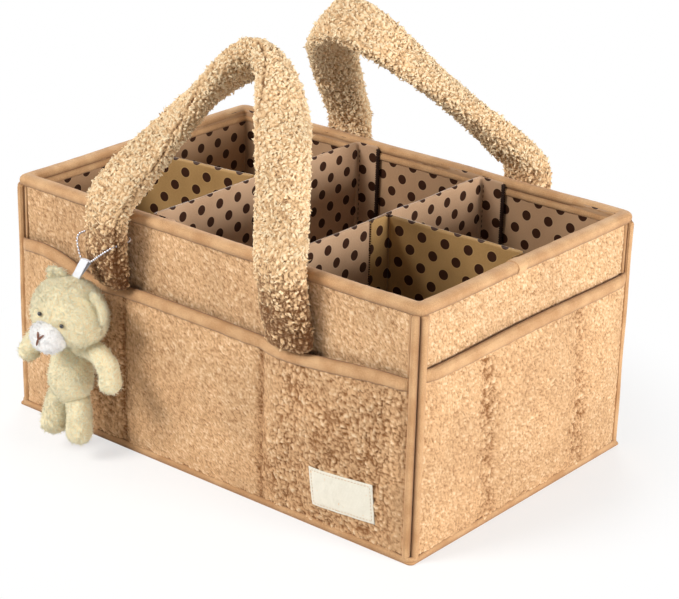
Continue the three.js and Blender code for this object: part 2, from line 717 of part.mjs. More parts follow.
// Limbs, swept along a few places with round ends
const limbPlaceShares = [0, 0.04, 0.14, 0.3, 0.5, 0.7, 0.86, 0.96, 1];
const limbTipShare = 0.2;
function limb(places, radius) {
  const line = new THREE.CatmullRomCurve3(places);
  const rings = limbPlaceShares.map((share) => {
    const centre = line.getPointAt(share);
    const along = line.getTangentAt(share);
    const across = new THREE.Vector3(0, 1, 0).cross(along).normalize();
    const through = along.clone().cross(across);
    const near = Math.min(share, 1 - share) * line.getLength();
    const fade = Math.max(0, 1 - near / radius);
    const size = 2 * radius * Math.max(limbTipShare, Math.sqrt(1 - fade ** 2));
    return strapRing(centre, across, through, size, size, limbSides);
  });
  return solid(skin(rings));
}
const rightArmPlaces = [[-4, -9, -63], [14, -9, -62], [27, -10, -66], [34, -11, -75], [35, -12, -89]];
const leftArmPlaces = [[-12, -9, -63], [-28, -9, -63], [-40, -10, -68], [-48, -11, -77], [-50, -12, -88]];
const rightLegPlaces = [[-3, -9, -100], [1, -10, -116], [3, -13, -139]];
const leftLegPlaces = [[-18, -9, -100], [-22, -10, -116], [-26, -13, -139]];
function addLimb(name, radius, places) {
  const made = limb(places.map((place) => new THREE.Vector3(...place)), radius);
  addPart(name, geometryOf(made.subtract(torsoKeep).subtract(headKeep)), "bear", bear);
}
addLimb("bear_right_arm", armRadius, rightArmPlaces);
addLimb("bear_left_arm", armRadius, leftArmPlaces);
addLimb("bear_right_leg", legRadius, rightLegPlaces);
addLimb("bear_left_leg", legRadius, leftLegPlaces);

// Ears, muzzle and eyes sit on the head, in its own frame
const earAt = new THREE.Vector3(21.5, 9, 23);
const earFlare = 38;
for (const [place, side] of [["left", -1], ["right", 1]]) {
  const ear = oval(earSize, earSteps);
  ear.applyMatrix4(turnedBy(0, side * earFlare, 0, new THREE.Vector3(side * earAt.x, earAt.y, earAt.z)));
  ear.applyMatrix4(headPose);
  addPart(`bear_${place}_ear`, geometryOf(solid(ear).subtract(headKeep)), "bear", bear);
}
const muzzleDrop = 8;
function muzzle(grown) {
  const made = oval(muzzleSize, muzzleSteps, grown).translate(0, -headSize.y / 2, -muzzleDrop);
  return solid(made.applyMatrix4(headPose));
}
addPart("bear_muzzle", geometryOf(muzzle(0).subtract(headKeep)), "muzzle", bear);
const eyeSize = new THREE.Vector3(eyeDiameter, eyeDiameter, eyeDiameter);
const eyeX = 10;
const eyeZ = 6.5;
for (const [place, side] of [["left", -1], ["right", 1]]) {
  const half = headSize.clone().divideScalar(2);
  const depth = half.y * Math.sqrt(1 - (eyeX / half.x) ** 2 - (eyeZ / half.z) ** 2);
  const eye = oval(eyeSize, eyeSteps).translate(side * eyeX, -depth - eyeDiameter / 4, eyeZ);
  const cut = solid(eye.applyMatrix4(headPose)).subtract(headKeep).subtract(muzzle(seatGap));
  addPart(`bear_${place}_eye`, geometryOf(cut), "eye", bear);
}

// The ribbon tag: a flat eye round the chain and a tail down to the head. It is sheared sideways,
// which keeps its eye straight along the chain.
function hangTag() {
  const round = tagEye + tagPly;
  const eye = new THREE.CylinderGeometry(round, round, tagWidth, tagSides).rotateZ(Math.PI / 2);
  const hole = new THREE.CylinderGeometry(tagEye, tagEye, 2 * tagWidth, tagSides).rotateZ(Math.PI / 2);
  const half = tagWidth / 2;
  const tail = blockBetween(-half, half, -tagPly, tagPly, -tagLength, 0);
  tail.rotateX(THREE.MathUtils.degToRad(-tagLean));
  const drop = -(tagEye - chainRadius - seatGap);
  const made = geometryOf(solid(eye).add(solid(tail)).subtract(solid(hole)));
  made.applyMatrix4(new THREE.Matrix4().makeShear(0, 0, 0, 0, tagShear, 0));
  return solid(made.translate(0, 0, drop)).subtract(headKeep);
}
addPart("hang_tag", geometryOf(hangTag()), "label", bear);

export default caddy;
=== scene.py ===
import math

import bmesh
import bpy
import numpy as np
from mathutils import Matrix, Vector


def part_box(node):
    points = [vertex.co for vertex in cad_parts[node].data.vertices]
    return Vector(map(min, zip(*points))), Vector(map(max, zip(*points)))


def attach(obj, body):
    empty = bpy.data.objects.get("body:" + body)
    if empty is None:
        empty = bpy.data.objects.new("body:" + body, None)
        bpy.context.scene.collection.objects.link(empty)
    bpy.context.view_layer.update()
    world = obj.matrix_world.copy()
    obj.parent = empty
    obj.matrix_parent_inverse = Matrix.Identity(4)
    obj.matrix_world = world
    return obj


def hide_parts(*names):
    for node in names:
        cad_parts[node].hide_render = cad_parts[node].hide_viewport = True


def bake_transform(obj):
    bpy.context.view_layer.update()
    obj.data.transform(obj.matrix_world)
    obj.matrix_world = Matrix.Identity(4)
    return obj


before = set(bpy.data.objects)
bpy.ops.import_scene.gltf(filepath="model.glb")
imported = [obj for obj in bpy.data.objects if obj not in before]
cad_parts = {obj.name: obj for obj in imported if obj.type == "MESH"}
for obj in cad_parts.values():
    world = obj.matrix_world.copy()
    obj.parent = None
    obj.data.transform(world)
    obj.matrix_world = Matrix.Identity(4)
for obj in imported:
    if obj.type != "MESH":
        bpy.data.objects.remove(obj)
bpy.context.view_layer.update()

# Boards: sheets of pressed greyboard, cut square and slipped between the plush and the lining,
# one in each wall and one under the floor. Nothing of them shows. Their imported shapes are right,
# so they keep them and get the speckle and short fibres of recycled board.
GREYBOARD = (141, 131, 119)
GREYBOARD_PALE = (176, 166, 152)
GREYBOARD_SPECK = (96, 88, 80)


def linear(red, green, blue):
    """A colour as seen on a screen, 0 to 255, as the light values that a shader takes."""
    shares = [value / 255 for value in (red, green, blue)]
    return (*[v / 12.92 if v < 0.04045 else ((v + 0.055) / 1.055) ** 2.4 for v in shares], 1)


def node(tree, kind, sockets={}, **settings):
    """Adds a shader node. Each socket is given a number or a colour, or another node's output."""
    made = tree.nodes.new("ShaderNode" + kind)
    for name, value in settings.items():
        setattr(made, name, value)
    for key, value in sockets.items():
        if isinstance(value, bpy.types.NodeSocket):
            tree.links.new(value, made.inputs[key])
        else:
            made.inputs[key].default_value = value
    return made


def blend_colours(tree, mask, first, second):
    """The first colour where the mask is 0, the second where it is 1."""
    mix = node(tree, "Mix", {0: mask, 6: first, 7: second}, data_type="RGBA")
    return mix.outputs[2]


def span(tree, value, low, high, to_low=0.0, to_high=1.0):
    """A value between low and high brought smoothly between two others."""
    sockets = {0: value, 1: low, 2: high, 3: to_low, 4: to_high}
    made = node(tree, "MapRange", sockets, interpolation_type="SMOOTHSTEP")
    return made.outputs[0]


def noise(tree, place, scale, detail, **sockets):
    """Smooth noise, about scale lumps to the metre."""
    sockets.update({"Vector": place, "Scale": scale, "Detail": detail})
    return node(tree, "TexNoise", sockets).outputs[0]


def relief(tree, height, distance, strength):
    """The direction that a height gives a surface, with its depth in metres."""
    return node(
        tree, "Bump", {"Height": height, "Distance": distance, "Strength": strength}
    ).outputs[0]


def dress(tree, shader, colour, normal=None):
    """Gives a shader its colour and, where it has one, the direction of its relief."""
    tree.links.new(colour, shader.inputs["Base Color"])
    if normal is not None:
        tree.links.new(normal, shader.inputs["Normal"])


def new_finish(name, **shader_values):
    """A material with its shader and the place on the piece, in metres."""
    finish = bpy.data.materials.new(name)
    finish.use_nodes = True
    tree = finish.node_tree
    shader = tree.nodes["Principled BSDF"]
    for key, value in shader_values.items():
        shader.inputs[key.replace("_", " ")].default_value = value
    return finish, tree, shader, node(tree, "TexCoord").outputs["Object"]


greyboard, tree, shader, place = new_finish("greyboard", Roughness=0.9)
fibres = noise(tree, place, 900.0, 6.0)
specks = node(tree, "TexVoronoi", {"Vector": place, "Scale": 420.0})
pressed = blend_colours(
    tree, span(tree, fibres, 0.3, 0.7), linear(*GREYBOARD), linear(*GREYBOARD_PALE)
)
speckled = blend_colours(
    tree, span(tree, specks.outputs[0], 0.12, 0.2), linear(*GREYBOARD_SPECK), pressed
)
dress(tree, shader, speckled, relief(tree, fibres, 0.0002, 0.5))


def use_greyboard(name):
    """Gives a packed board the finish of greyboard."""
    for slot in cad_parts[name].material_slots:
        slot.material = greyboard


for name in ("front", "back", "left", "right", "base"):
    use_greyboard(f"{name}_board")

# Outer shell: teddy plush, a knitted backing with a short curled pile, cut into a front, a back
# and two end panels and pulled over the boards. The pile is raised in the mesh knot by knot, and
# the shader adds the single threads. A plain woven cover closes the base.
PLUSH_KNOT = 2.6
PLUSH_DEPTH = 1.1
PANEL_STEP = 1.2


def grid_faces(rows, columns, ring=False, loop=False):
    """Faces over a grid of points. A ring joins the last column to the first, a loop the rows."""
    i, j = np.meshgrid(
        np.arange(rows if loop else rows - 1), np.arange(columns if ring else columns - 1),
        indexing="ij",
    )
    down, over = (i + 1) % rows, (j + 1) % columns
    corners = [i * columns + j, i * columns + over, down * columns + over, down * columns + j]
    return np.stack(corners, axis=-1).reshape(-1, 4)


def sheet_between(front, back):
    """A closed thin solid between two grids of points with the same rows and columns."""
    rows, columns = front.shape[:2]
    count = rows * columns
    order = np.arange(count).reshape(rows, columns)
    edge = np.concatenate([order[0, :-1], order[:-1, -1], order[-1, :0:-1], order[:0:-1, 0]])
    ahead = np.roll(edge, -1)
    rim = np.stack([ahead, edge, edge + count, ahead + count], axis=-1)
    face = grid_faces(rows, columns)
    points = np.concatenate([front.reshape(-1, 3), back.reshape(-1, 3)])
    return points, np.concatenate([face, face[:, ::-1] + count, rim])


def square_to(points, faces):
    """The direction square to the surface at each point."""
    corners = points[faces]
    across = np.cross(corners[:, 2] - corners[:, 0], corners[:, 3] - corners[:, 1])
    total = np.zeros_like(points)
    for k in range(3):
        for corner in range(4):
            total[:, k] += np.bincount(faces[:, corner], across[:, k], len(points))
    return total / (np.linalg.norm(total, axis=1, keepdims=True) + 1e-12)


def knots(points, size, seed):
    """Round knots packed about size apart: 1 on top, 0 in the dips, and each knot's own number."""
    table = np.random.default_rng(seed).random((4096, 4))
    place = points / size
    cell = np.floor(place).astype(np.int64)
    nearest = np.full(len(place), 4.0)
    second = nearest.copy()
    own = np.zeros(len(place))
    for step in np.ndindex(3, 3, 3):
        other = cell + np.array(step) - 1
        key = (other[:, 0] * 73856093 ^ other[:, 1] * 19349663 ^ other[:, 2] * 83492791) & 4095
        gap = np.linalg.norm(other + 0.15 + 0.7 * table[key, :3] - place, axis=1)
        closer = gap < nearest
        second = np.where(closer, nearest, np.minimum(second, gap))
        nearest[closer] = gap[closer]
        own[closer] = table[key[closer], 3]
    edge = np.clip((second - nearest) / 0.75, 0, 1)
    return np.sqrt(edge * (2 - edge)) * (1 - 0.35 * np.minimum(nearest, 1) ** 2), own


def waves(points, size, seed):
    """Smooth unevenness about size long, mostly between -1 and 1."""
    rng = np.random.default_rng(seed)
    turns = rng.normal(size=(points.shape[1], 16))
    turns *= 2 * math.pi / size * rng.uniform(0.6, 1.4, 16) / np.linalg.norm(turns, axis=0)
    return np.sin(points @ turns + rng.uniform(0, 2 * math.pi, 16)).sum(axis=1) / 5.6


def waves_along(line, size, seed, row=0):
    """The same along one line, given how far along it each place is."""
    return waves(np.column_stack([line, 0 * line + row]), size, seed)


def raise_pile(points, away, knot, depth, seed, count=None):
    """Raises a curled pile on the first count points. Returns them and their height in the pile."""
    count = len(points) if count is None else count
    stray = np.stack([waves(points[:count], 2.2 * knot, seed + k) for k in range(3)], axis=1)
    bent = points[:count] + 0.35 * knot * stray
    coarse, own = knots(bent, knot, seed)
    fine, _ = knots(bent + 0.2 * knot, 0.45 * knot, seed + 5)
    height = coarse * (0.6 + 0.35 * own) + 0.2 * fine
    pile = np.full(len(points), 0.6)
    pile[:count] = height
    raised = points.copy()
    raised[:count] += away[:count] * ((height - 0.6) * depth)[:, None]
    return raised, pile


def make_piece(name, points, faces, finish, slot, smooth=True, **marks):
    """A mesh piece from points in millimetres, with any marks kept at its points."""
    mesh = bpy.data.meshes.new(name)
    mesh.from_pydata((np.asarray(points) / 1000).tolist(), [], [list(face) for face in faces])
    form = bmesh.new()
    form.from_mesh(mesh)
    bmesh.ops.recalc_face_normals(form, faces=form.faces)
    form.to_mesh(mesh)
    form.free()
    for key, values in marks.items():
        wide = np.ndim(values) == 2
        mark = mesh.attributes.new(key, "FLOAT_VECTOR" if wide else "FLOAT", "POINT")
        mark.data.foreach_set(
            "vector" if wide else "value", np.asarray(values, dtype=np.float32).ravel()
        )
    mesh.polygons.foreach_set("use_smooth", [smooth] * len(mesh.polygons))
    mesh.materials.append(finish)
    piece = bpy.data.objects.new(name, mesh)
    bpy.context.scene.collection.objects.link(piece)
    return piece


def mount(piece, body, *stands_for):
    """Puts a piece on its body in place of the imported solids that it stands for."""
    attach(piece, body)
    if stands_for:
        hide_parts(*stands_for)
    return piece


def maths(tree, operation, *values):
    """A sum on numbers and on other nodes' outputs."""
    return node(tree, "Math", dict(enumerate(values)), operation=operation).outputs[0]


def vectors(tree, operation, first, second):
    """A sum on two vectors, or on a vector and the number that scales it."""
    sockets = {0: first, 3 if operation == "SCALE" else 1: second}
    return node(tree, "VectorMath", sockets, operation=operation).outputs[0]


def new_group(name, inputs, outputs):
    """An empty group of shader nodes with named sockets, and its own inputs and outputs."""
    tree = bpy.data.node_groups.new(name, "ShaderNodeTree")
    for label, kind, value in inputs:
        socket = tree.interface.new_socket(
            name=label, in_out="INPUT", socket_type="NodeSocket" + kind
        )
        if value is not None:
            socket.default_value = value
    for label, kind in outputs:
        tree.interface.new_socket(name=label, in_out="OUTPUT", socket_type="NodeSocket" + kind)
    return tree, tree.nodes.new("NodeGroupInput").outputs, tree.nodes.new("NodeGroupOutput").inputs


def pile_group():
    """Curled pile: painted shade at the roots deep in the pile, painted highlights on its tips,
    a slow change of shade, and the relief of its threads.
    """
    colour = (0.5, 0.5, 0.5, 1)
    tree, given, result = new_group(
        "curled_pile",
        [("Place", "Vector", None), ("Height", "Float", 0.5), ("Root", "Color", colour),
         ("Middle", "Color", colour), ("Tip", "Color", colour), ("Thread", "Float", 0.5)],
        [("Color", "Color"), ("Normal", "Vector")],
    )
    scale = maths(tree, "DIVIDE", 1000.0, given["Thread"])
    curl = noise(tree, given["Place"], scale, 3.0, Distortion=1.6)
    slow = noise(tree, given["Place"], 28.0, 2.0)
    lifted = maths(tree, "ADD", curl, given["Height"])
    # The lower a place lies in the pile, the darker it is: the root colour is painted shade in the
    # dips and the tip colour a painted highlight on the tops.
    low = blend_colours(tree, span(tree, lifted, 0.45, 1.12), given["Root"], given["Middle"])
    high = blend_colours(tree, span(tree, lifted, 1.05, 1.5), low, given["Tip"])
    shade = span(tree, slow, 0.3, 0.7, 0.93, 1.06)
    shaded = vectors(tree, "SCALE", high, shade)
    tree.links.new(shaded, result["Color"])
    tree.links.new(relief(tree, curl, 0.0009, 0.9), result["Normal"])
    return tree


PILE = pile_group()


def plush_finish(name, root, middle, tip, thread, sheen=0.25):
    """Plush in three shades of one colour, from the roots to the tips of its pile. The dark root
    shade is painted shade in the dips and the pale tip shade a painted highlight on the knot tops.
    """
    finish, tree, shader, place = new_finish(
        name, Roughness=0.95, Specular_IOR_Level=0.15, Sheen_Weight=sheen, Sheen_Roughness=0.6
    )
    shader.inputs["Sheen Tint"].default_value = linear(*tip)
    height = node(tree, "Attribute", attribute_name="pile").outputs["Fac"]
    sockets = {"Place": place, "Height": height, "Thread": thread}
    sockets.update({"Root": linear(*root), "Middle": linear(*middle), "Tip": linear(*tip)})
    curls = node(tree, "Group", sockets, node_tree=PILE)
    dress(tree, shader, curls.outputs["Color"], curls.outputs["Normal"])
    return finish


body_plush = plush_finish("body_plush", (134, 86, 46), (215, 172, 128), (240, 210, 172), 1.0)


def box_of(name):
    """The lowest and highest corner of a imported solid, in millimetres."""
    low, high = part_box(name)
    return np.array(low) * 1000, np.array(high) * 1000


def steps_between(start, end, step):
    return np.linspace(start, end, max(2, round(abs(end - start) / step) + 1))


for name, wall, sign in (("front", 1, -1), ("back", 1, 1), ("left", 0, -1), ("right", 0, 1)):
    low, high = box_of(f"{name}_panel")
    run = 1 - wall
    places = [steps_between(low[axis], high[axis], PANEL_STEP) for axis in (run, 2)]
    along, up = np.meshgrid(*places, indexing="ij")
    outer = np.zeros(along.shape + (3,))
    outer[..., run], outer[..., 2] = along, up
    inner = outer.copy()
    outer[..., wall] = high[wall] if sign > 0 else low[wall]
    inner[..., wall] = low[wall] if sign > 0 else high[wall]
    flat = outer.reshape(-1, 3)
    outer[..., wall] += sign * (0.45 * waves(flat, 70, 11) - 0.5).reshape(along.shape)
    points, faces = sheet_between(outer, inner)
    if square_to(points, faces)[along.size // 2, wall] * sign < 0:
        faces = faces[:, ::-1]
    points, pile = raise_pile(
        points, square_to(points, faces), PLUSH_KNOT, PLUSH_DEPTH, 21, along.size
    )
    panel = make_piece(f"{name}_plush", points, faces, body_plush, "plush", pile=pile)
    mount(panel, "caddy", f"{name}_panel")
    size = (np.ptp(along) / 1000, np.ptp(up) / 1000)

weave_tree, given, result = new_group(
    "plain_weave",
    [("Place", "Vector", None), ("Thread", "Float", 0.5), ("Relief", "Float", 0.3)],
    [("Threads", "Float"), ("Normal", "Vector")],
)
turns = maths(weave_tree, "DIVIDE", 3141.6, given["Thread"])
turned = vectors(weave_tree, "SCALE", given["Place"], turns)
parts = node(weave_tree, "SeparateXYZ", {0: turned}).outputs
sines = [maths(weave_tree, "SINE", part) for part in parts[:3]]
pair = maths(weave_tree, "MULTIPLY", sines[0], sines[1])
every = maths(weave_tree, "ADD", pair, sines[2])
slub = noise(weave_tree, given["Place"], 600.0, 2.0)
height = maths(weave_tree, "ADD", every, slub)
weave_tree.links.new(span(weave_tree, height, -0.6, 1.6), result["Threads"])
weave_tree.links.new(relief(weave_tree, height, 0.0001, given["Relief"]), result["Normal"])


def woven_finish(name, thread, depth, dark, light, **shader_values):
    """Plain woven cloth: the width of a thread in mm, its relief, and its two shades."""
    finish, tree, shader, place = new_finish(name, **shader_values)
    weave = node(
        tree, "Group", {"Place": place, "Thread": thread, "Relief": depth}, node_tree=weave_tree
    )
    shade = blend_colours(tree, weave.outputs["Threads"], linear(*dark), linear(*light))
    dress(tree, shader, shade, weave.outputs["Normal"])
    return finish


cover_cloth = woven_finish("cover_cloth", 0.6, 0.6, (150, 108, 68), (196, 152, 106), Roughness=0.85)


def round_loop(half_x, half_y, radius, sides, corner=6):
    """A rectangle with round corners, anticlockwise: its points and the outward direction there."""
    points, away = [], []
    signs = np.array([(1, 1), (-1, 1), (-1, -1), (1, -1)])
    middles = signs * (half_x - radius, half_y - radius)
    for k in range(4):
        for turn in np.linspace(k, k + 1, corner + 1) * math.pi / 2:
            away.append(np.array([math.cos(turn), math.sin(turn)]))
            points.append(middles[k] + radius * away[-1])
        start, run = points[-1], middles[(k + 1) % 4] - middles[k]
        for share in np.linspace(0, 1, sides[k % 2] + 1)[1:-1]:
            points.append(start + run * share)
            away.append(away[-1])
    return np.array(points), np.array(away)


def ring_at(loop, z):
    """A flat loop of points lifted to one height."""
    return np.column_stack([loop, np.full(len(loop), float(z))])


def length_along(line):
    """How far along a line each of its points lies."""
    gaps = np.linalg.norm(np.diff(line, axis=0), axis=1)
    return np.concatenate([[0], np.cumsum(gaps)])


def skin(rings, loop=False):
    """A skin over rings of points, capped at its two ends unless it closes on itself."""
    rows, columns = rings.shape[:2]
    faces = grid_faces(rows, columns, ring=True, loop=loop).tolist()
    if not loop:
        first = list(range(columns))
        faces += [first[::-1], [(rows - 1) * columns + k for k in first]]
    return rings.reshape(-1, 3), faces


low, high = box_of("base_cover")
cover_section = [
    (120, 0), (60, 0), (1.5, 0), (0.5, 0.1), (0, 0.6), (0.3, 1.6), (1.5, 1.8), (60, 1.8), (120, 1.8)
]
rings = []
for inset, z in cover_section:
    loop, _ = round_loop(high[0] - inset, high[1] - inset, 3.5, (60, 40))
    rings.append(ring_at(loop, z))
cover = make_piece("base_cloth", *skin(np.array(rings)), cover_cloth, "plush")
mount(cover, "caddy", "base_cover")

# Lining: champagne satin printed with staggered brown dots, one band of cloth round the walls and
# a piece on the floor, stitched in under the rim tape. It hangs a little loose on the boards.
DOT_PITCH = 19.7
DOT_ROW = 11.75
DOT_RADIUS = 3.95
LINING_STEP = 3.0

dot_tree, given, result = new_group(
    "staggered_dots",
    [("Cloth", "Vector", None), ("Pitch", "Float", 20.0), ("Row", "Float", 12.0),
     ("Radius", "Float", 4.0)],
    [("Dot", "Float"), ("Halo", "Float")],
)
double_row = maths(dot_tree, "MULTIPLY", given["Row"], 2.0)
cell = node(dot_tree, "CombineXYZ", {0: given["Pitch"], 1: double_row, 2: 1000.0}).outputs[0]
in_mm = vectors(dot_tree, "SCALE", given["Cloth"], 1000.0)
counted = vectors(dot_tree, "DIVIDE", in_mm, cell)
gaps = []
for shift in (0.0, 0.5):
    moved = vectors(dot_tree, "ADD", counted, (shift, shift, 0.5))
    share = node(dot_tree, "VectorMath", {0: moved}, operation="FRACTION").outputs[0]
    middle = vectors(dot_tree, "SUBTRACT", share, (0.5, 0.5, 0.5))
    offset = vectors(dot_tree, "MULTIPLY", middle, cell)
    gaps.append(node(dot_tree, "VectorMath", {0: offset}, operation="LENGTH").outputs["Value"])
nearest = maths(dot_tree, "MINIMUM", gaps[0], gaps[1])
beyond = maths(dot_tree, "SUBTRACT", nearest, given["Radius"])
dot_tree.links.new(span(dot_tree, beyond, -0.2, 0.15, 1.0, 0.0), result["Dot"])
dot_tree.links.new(span(dot_tree, beyond, 0.0, 0.9, 1.0, 0.0), result["Halo"])


def dotted_satin(name, ground, shade):
    """Satin in one shade of the ground colour, printed with the dots."""
    finish, tree, shader, place = new_finish(
        name, Roughness=0.45, Specular_IOR_Level=0.18, Sheen_Weight=0.08, Sheen_Roughness=0.4
    )
    cloth = node(tree, "Attribute", attribute_name="cloth").outputs["Vector"]
    sizes = {"Cloth": cloth, "Pitch": DOT_PITCH, "Row": DOT_ROW, "Radius": DOT_RADIUS}
    dots = node(tree, "Group", sizes, node_tree=dot_tree)
    weave = node(
        tree, "Group", {"Place": place, "Thread": 0.35, "Relief": 0.25}, node_tree=weave_tree
    )
    threads = weave.outputs["Threads"]
    slow = span(tree, noise(tree, place, 24.0, 2.0), 0.3, 0.7)
    base = blend_colours(tree, slow, linear(*shade), linear(*ground))
    lit, halo = [linear(*[min(255, v + more) for v in ground]) for more in (10, 14)]
    haloed = blend_colours(
        tree, dots.outputs["Halo"], blend_colours(tree, threads, base, lit), halo
    )
    ink = blend_colours(tree, threads, linear(42, 21, 10), linear(66, 36, 20))
    dress(
        tree, shader, blend_colours(tree, dots.outputs["Dot"], haloed, ink), weave.outputs["Normal"]
    )
    return finish


wall_satin = dotted_satin("wall_satin", (178, 143, 110), (158, 122, 90))
lining_low, lining_high = box_of("wall_lining")
levels = steps_between(lining_low[2], lining_high[2], LINING_STEP)
sides = (120, 80)
loop, away = round_loop(lining_high[0] - 1, lining_high[1] - 1, 2.0, sides, 4)
along = length_along(loop)
inner, outer = [], []
for z in levels:
    free = math.sin(math.pi * (z - levels[0]) / (levels[-1] - levels[0])) ** 0.7
    drape = 0.5 * waves_along(along, 46, 31, z * 0.25) + 0.5 + 0.15 * waves_along(along, 15, 32, z)
    drape = free * np.clip(drape, 0, 1.4)
    corner = np.abs(away).min(axis=1) > 0.01
    drape[corner] *= 0.2
    inner.append(ring_at(loop - away * drape[:, None], z))
    outer.append(ring_at(loop + away * 0.7, z))
rings = np.array(inner + outer[::-1])
points = rings.reshape(-1, 3)
faces = grid_faces(len(rings), len(loop), ring=True, loop=True)
cloth = np.column_stack([np.tile(along, len(rings)), points[:, 2], np.zeros(len(points))]) / 1000
lining = make_piece("dotted_wall_lining", points, faces, wall_satin, "satin", cloth=cloth)
mount(lining, "caddy", "wall_lining")

low, high = box_of("floor_lining")
x, y = np.meshgrid(
    steps_between(low[0], high[0], 4), steps_between(low[1], high[1], 4), indexing="ij"
)
flat = np.column_stack([x.ravel(), y.ravel()])
edge = np.minimum(high[0] - np.abs(x), high[1] - np.abs(y))
rise = np.clip(edge / 12, 0, 1) * (0.5 + 0.5 * waves(flat, 50, 33).reshape(x.shape)) * 0.8
top = np.stack([x, y, low[2] + 0.6 + 0.4 * rise], axis=-1)
bottom = np.stack([x, y, np.full(x.shape, low[2])], axis=-1)
points, faces = sheet_between(top, bottom)
cloth = points * (0.001, 0.001, 0)
floor_cloth = make_piece("dotted_floor_lining", points, faces, wall_satin, "satin", cloth=cloth)
mount(floor_cloth, "caddy", "floor_lining")

# Rim tape: a soft knitted tape folded over the raw top edges of all four walls and stitched
# through, so that it stands as a rounded roll with a second fold below it on the inside. It laps
# over itself on the right end.
RIM_HALF = 5.8
BODY_HALF = (190.5, 127)

tape_tree, given, result = new_group(
    "napped_tape",
    [("Place", "Vector", None), ("Base", "Color", (0.5, 0.5, 0.5, 1)),
     ("Worn", "Color", (0.5, 0.5, 0.5, 1)), ("PaintedShade", "Float", 0.0)],
    [("Color", "Color"), ("Normal", "Vector")],
)
nap = noise(tape_tree, given["Place"], 1500.0, 4.0, Roughness=0.7)
mottled = maths(tape_tree, "ADD", nap, noise(tape_tree, given["Place"], 60.0, 3.0))
shade = blend_colours(tape_tree, span(tape_tree, mottled, 0.75, 1.3), given["Base"], given["Worn"])
# The crease mark darkens the tape towards a deep brown: painted shade in its folds and grooves and
# where it tucks under.
dark = vectors(tape_tree, "MULTIPLY", given["Base"], (0.3, 0.23, 0.17))
tape_tree.links.new(blend_colours(tape_tree, given["PaintedShade"], shade, dark), result["Color"])
turned = vectors(tape_tree, "SCALE", given["Place"], 4833.0)
ribs = node(tape_tree, "VectorMath", {0: turned}, operation="SINE").outputs[0]
ribs = node(
    tape_tree, "VectorMath", {0: ribs, 1: (0.3, 0.3, 0.0)}, operation="DOT_PRODUCT"
).outputs["Value"]
tape_tree.links.new(
    relief(tape_tree, maths(tape_tree, "ADD", nap, ribs), 0.0003, 0.7), result["Normal"]
)


def tape_finish(name, base, worn):
    finish, tree, shader, place = new_finish(
        name, Roughness=0.85, Sheen_Weight=0.12, Sheen_Roughness=0.5
    )
    crease = node(tree, "Attribute", attribute_name="crease").outputs["Fac"]
    colours = {"Place": place, "Base": linear(*base), "Worn": linear(*worn), "PaintedShade": crease}
    napped = node(tree, "Group", colours, node_tree=tape_tree)
    dress(tree, shader, napped.outputs["Color"], napped.outputs["Normal"])
    return finish


body_tape = tape_finish("body_tape", (184, 138, 92), (214, 172, 126))
RIM_SECTION = [
    (4.4, 179.6), (5.0, 179.9), (5.3, 180.6), (5.7, 182.0), (5.8, 183.5), (5.4, 185.0),
    (4.4, 186.3), (2.7, 187.2), (0.5, 187.5), (-1.7, 187.3), (-3.5, 186.5), (-4.6, 185.2),
    (-4.9, 183.7), (-4.6, 182.5), (-4.2, 181.8), (-4.6, 181.2), (-5.3, 180.0), (-5.5, 178.2),
    (-5.3, 176.6), (-4.6, 175.8), (-4.2, 176.6), (-4.2, 182.4), (-3.4, 184.9), (0, 185.9),
    (3.4, 184.9), (4.2, 182.4),
]
# Painted shade on the rim tape, one value for each place of its section: dark at its outer foot and
# in the groove of its inner fold.
RIM_PAINTED_SHADE = [
    1.0, 0.85, 0.5, 0.3, 0.15, 0.05, *[0.0] * 5, 0.15, 0.3, 0.5, 1.0, 0.4, 0.1, 0.1, 0.2, *[0.0] * 7
]


def swept_round(section, half_x, half_y, sides, radius, wander=0.0, seed=0, corner=6):
    """A closed section carried round a rectangle with round corners. Each place of the section is
    its distance out from that line and its height; wander is how far the line strays."""
    rings = []
    for out, z in section:
        loop, away = round_loop(
            half_x + out, half_y + out, max(1.2, radius + out / 2.4), sides, corner
        )
        rings.append(ring_at(loop, z))
    rings = np.array(rings)
    core = rings.mean(axis=0)
    stray = wander * waves(core, 70, seed)
    pucker = 0.3 * wander * waves(core, 9, seed + 1)
    rings[..., :2] += away * (stray + pucker)[:, None]
    rings[..., 2] += 0.6 * wander * waves(core, 90, seed + 2)
    return rings.reshape(-1, 3), grid_faces(len(rings), len(core), ring=True, loop=True)


rim_line = [half - RIM_HALF for half in BODY_HALF]
points, faces = swept_round(RIM_SECTION, *rim_line, (190, 126), 4.0, 0.5, 41, 8)
crease = np.repeat(RIM_PAINTED_SHADE, len(points) // len(RIM_SECTION))
mount(
    make_piece("rim_tape", points, faces, body_tape, "tape", crease=crease), "caddy", "rim_binding"
)

lap = []
for k, offset in enumerate((0.15, 0.75)):
    outline = [
        (out * (1 + offset / RIM_HALF), z + offset * (z > 180)) for out, z in RIM_SECTION[1:14]
    ]
    lap.append([
        [rim_line[0] + out, y, z] for y in (-19.2, -18.9, -16, -13, -10.2, -10)
        for out, z in outline
    ])
lap = np.array(lap).reshape(2, 6, 13, 3)
points, faces = sheet_between(lap[1], lap[0])
mount(make_piece("rim_tape_lap", points, faces, body_tape, "tape"), "caddy")

# Bottom tape: the same tape, bound round the foot of the walls and pockets. The pile above hangs
# over its upper edge.
bottom_section = [
    (-0.4, 0.6), (0.3, 0.3), (0.9, 0.7), (1.25, 1.8), (1.3, 3.2), (1.1, 4.6), (0.6, 5.6),
    (-0.2, 6.1), (-0.9, 6.0), (-0.9, 2.0),
]
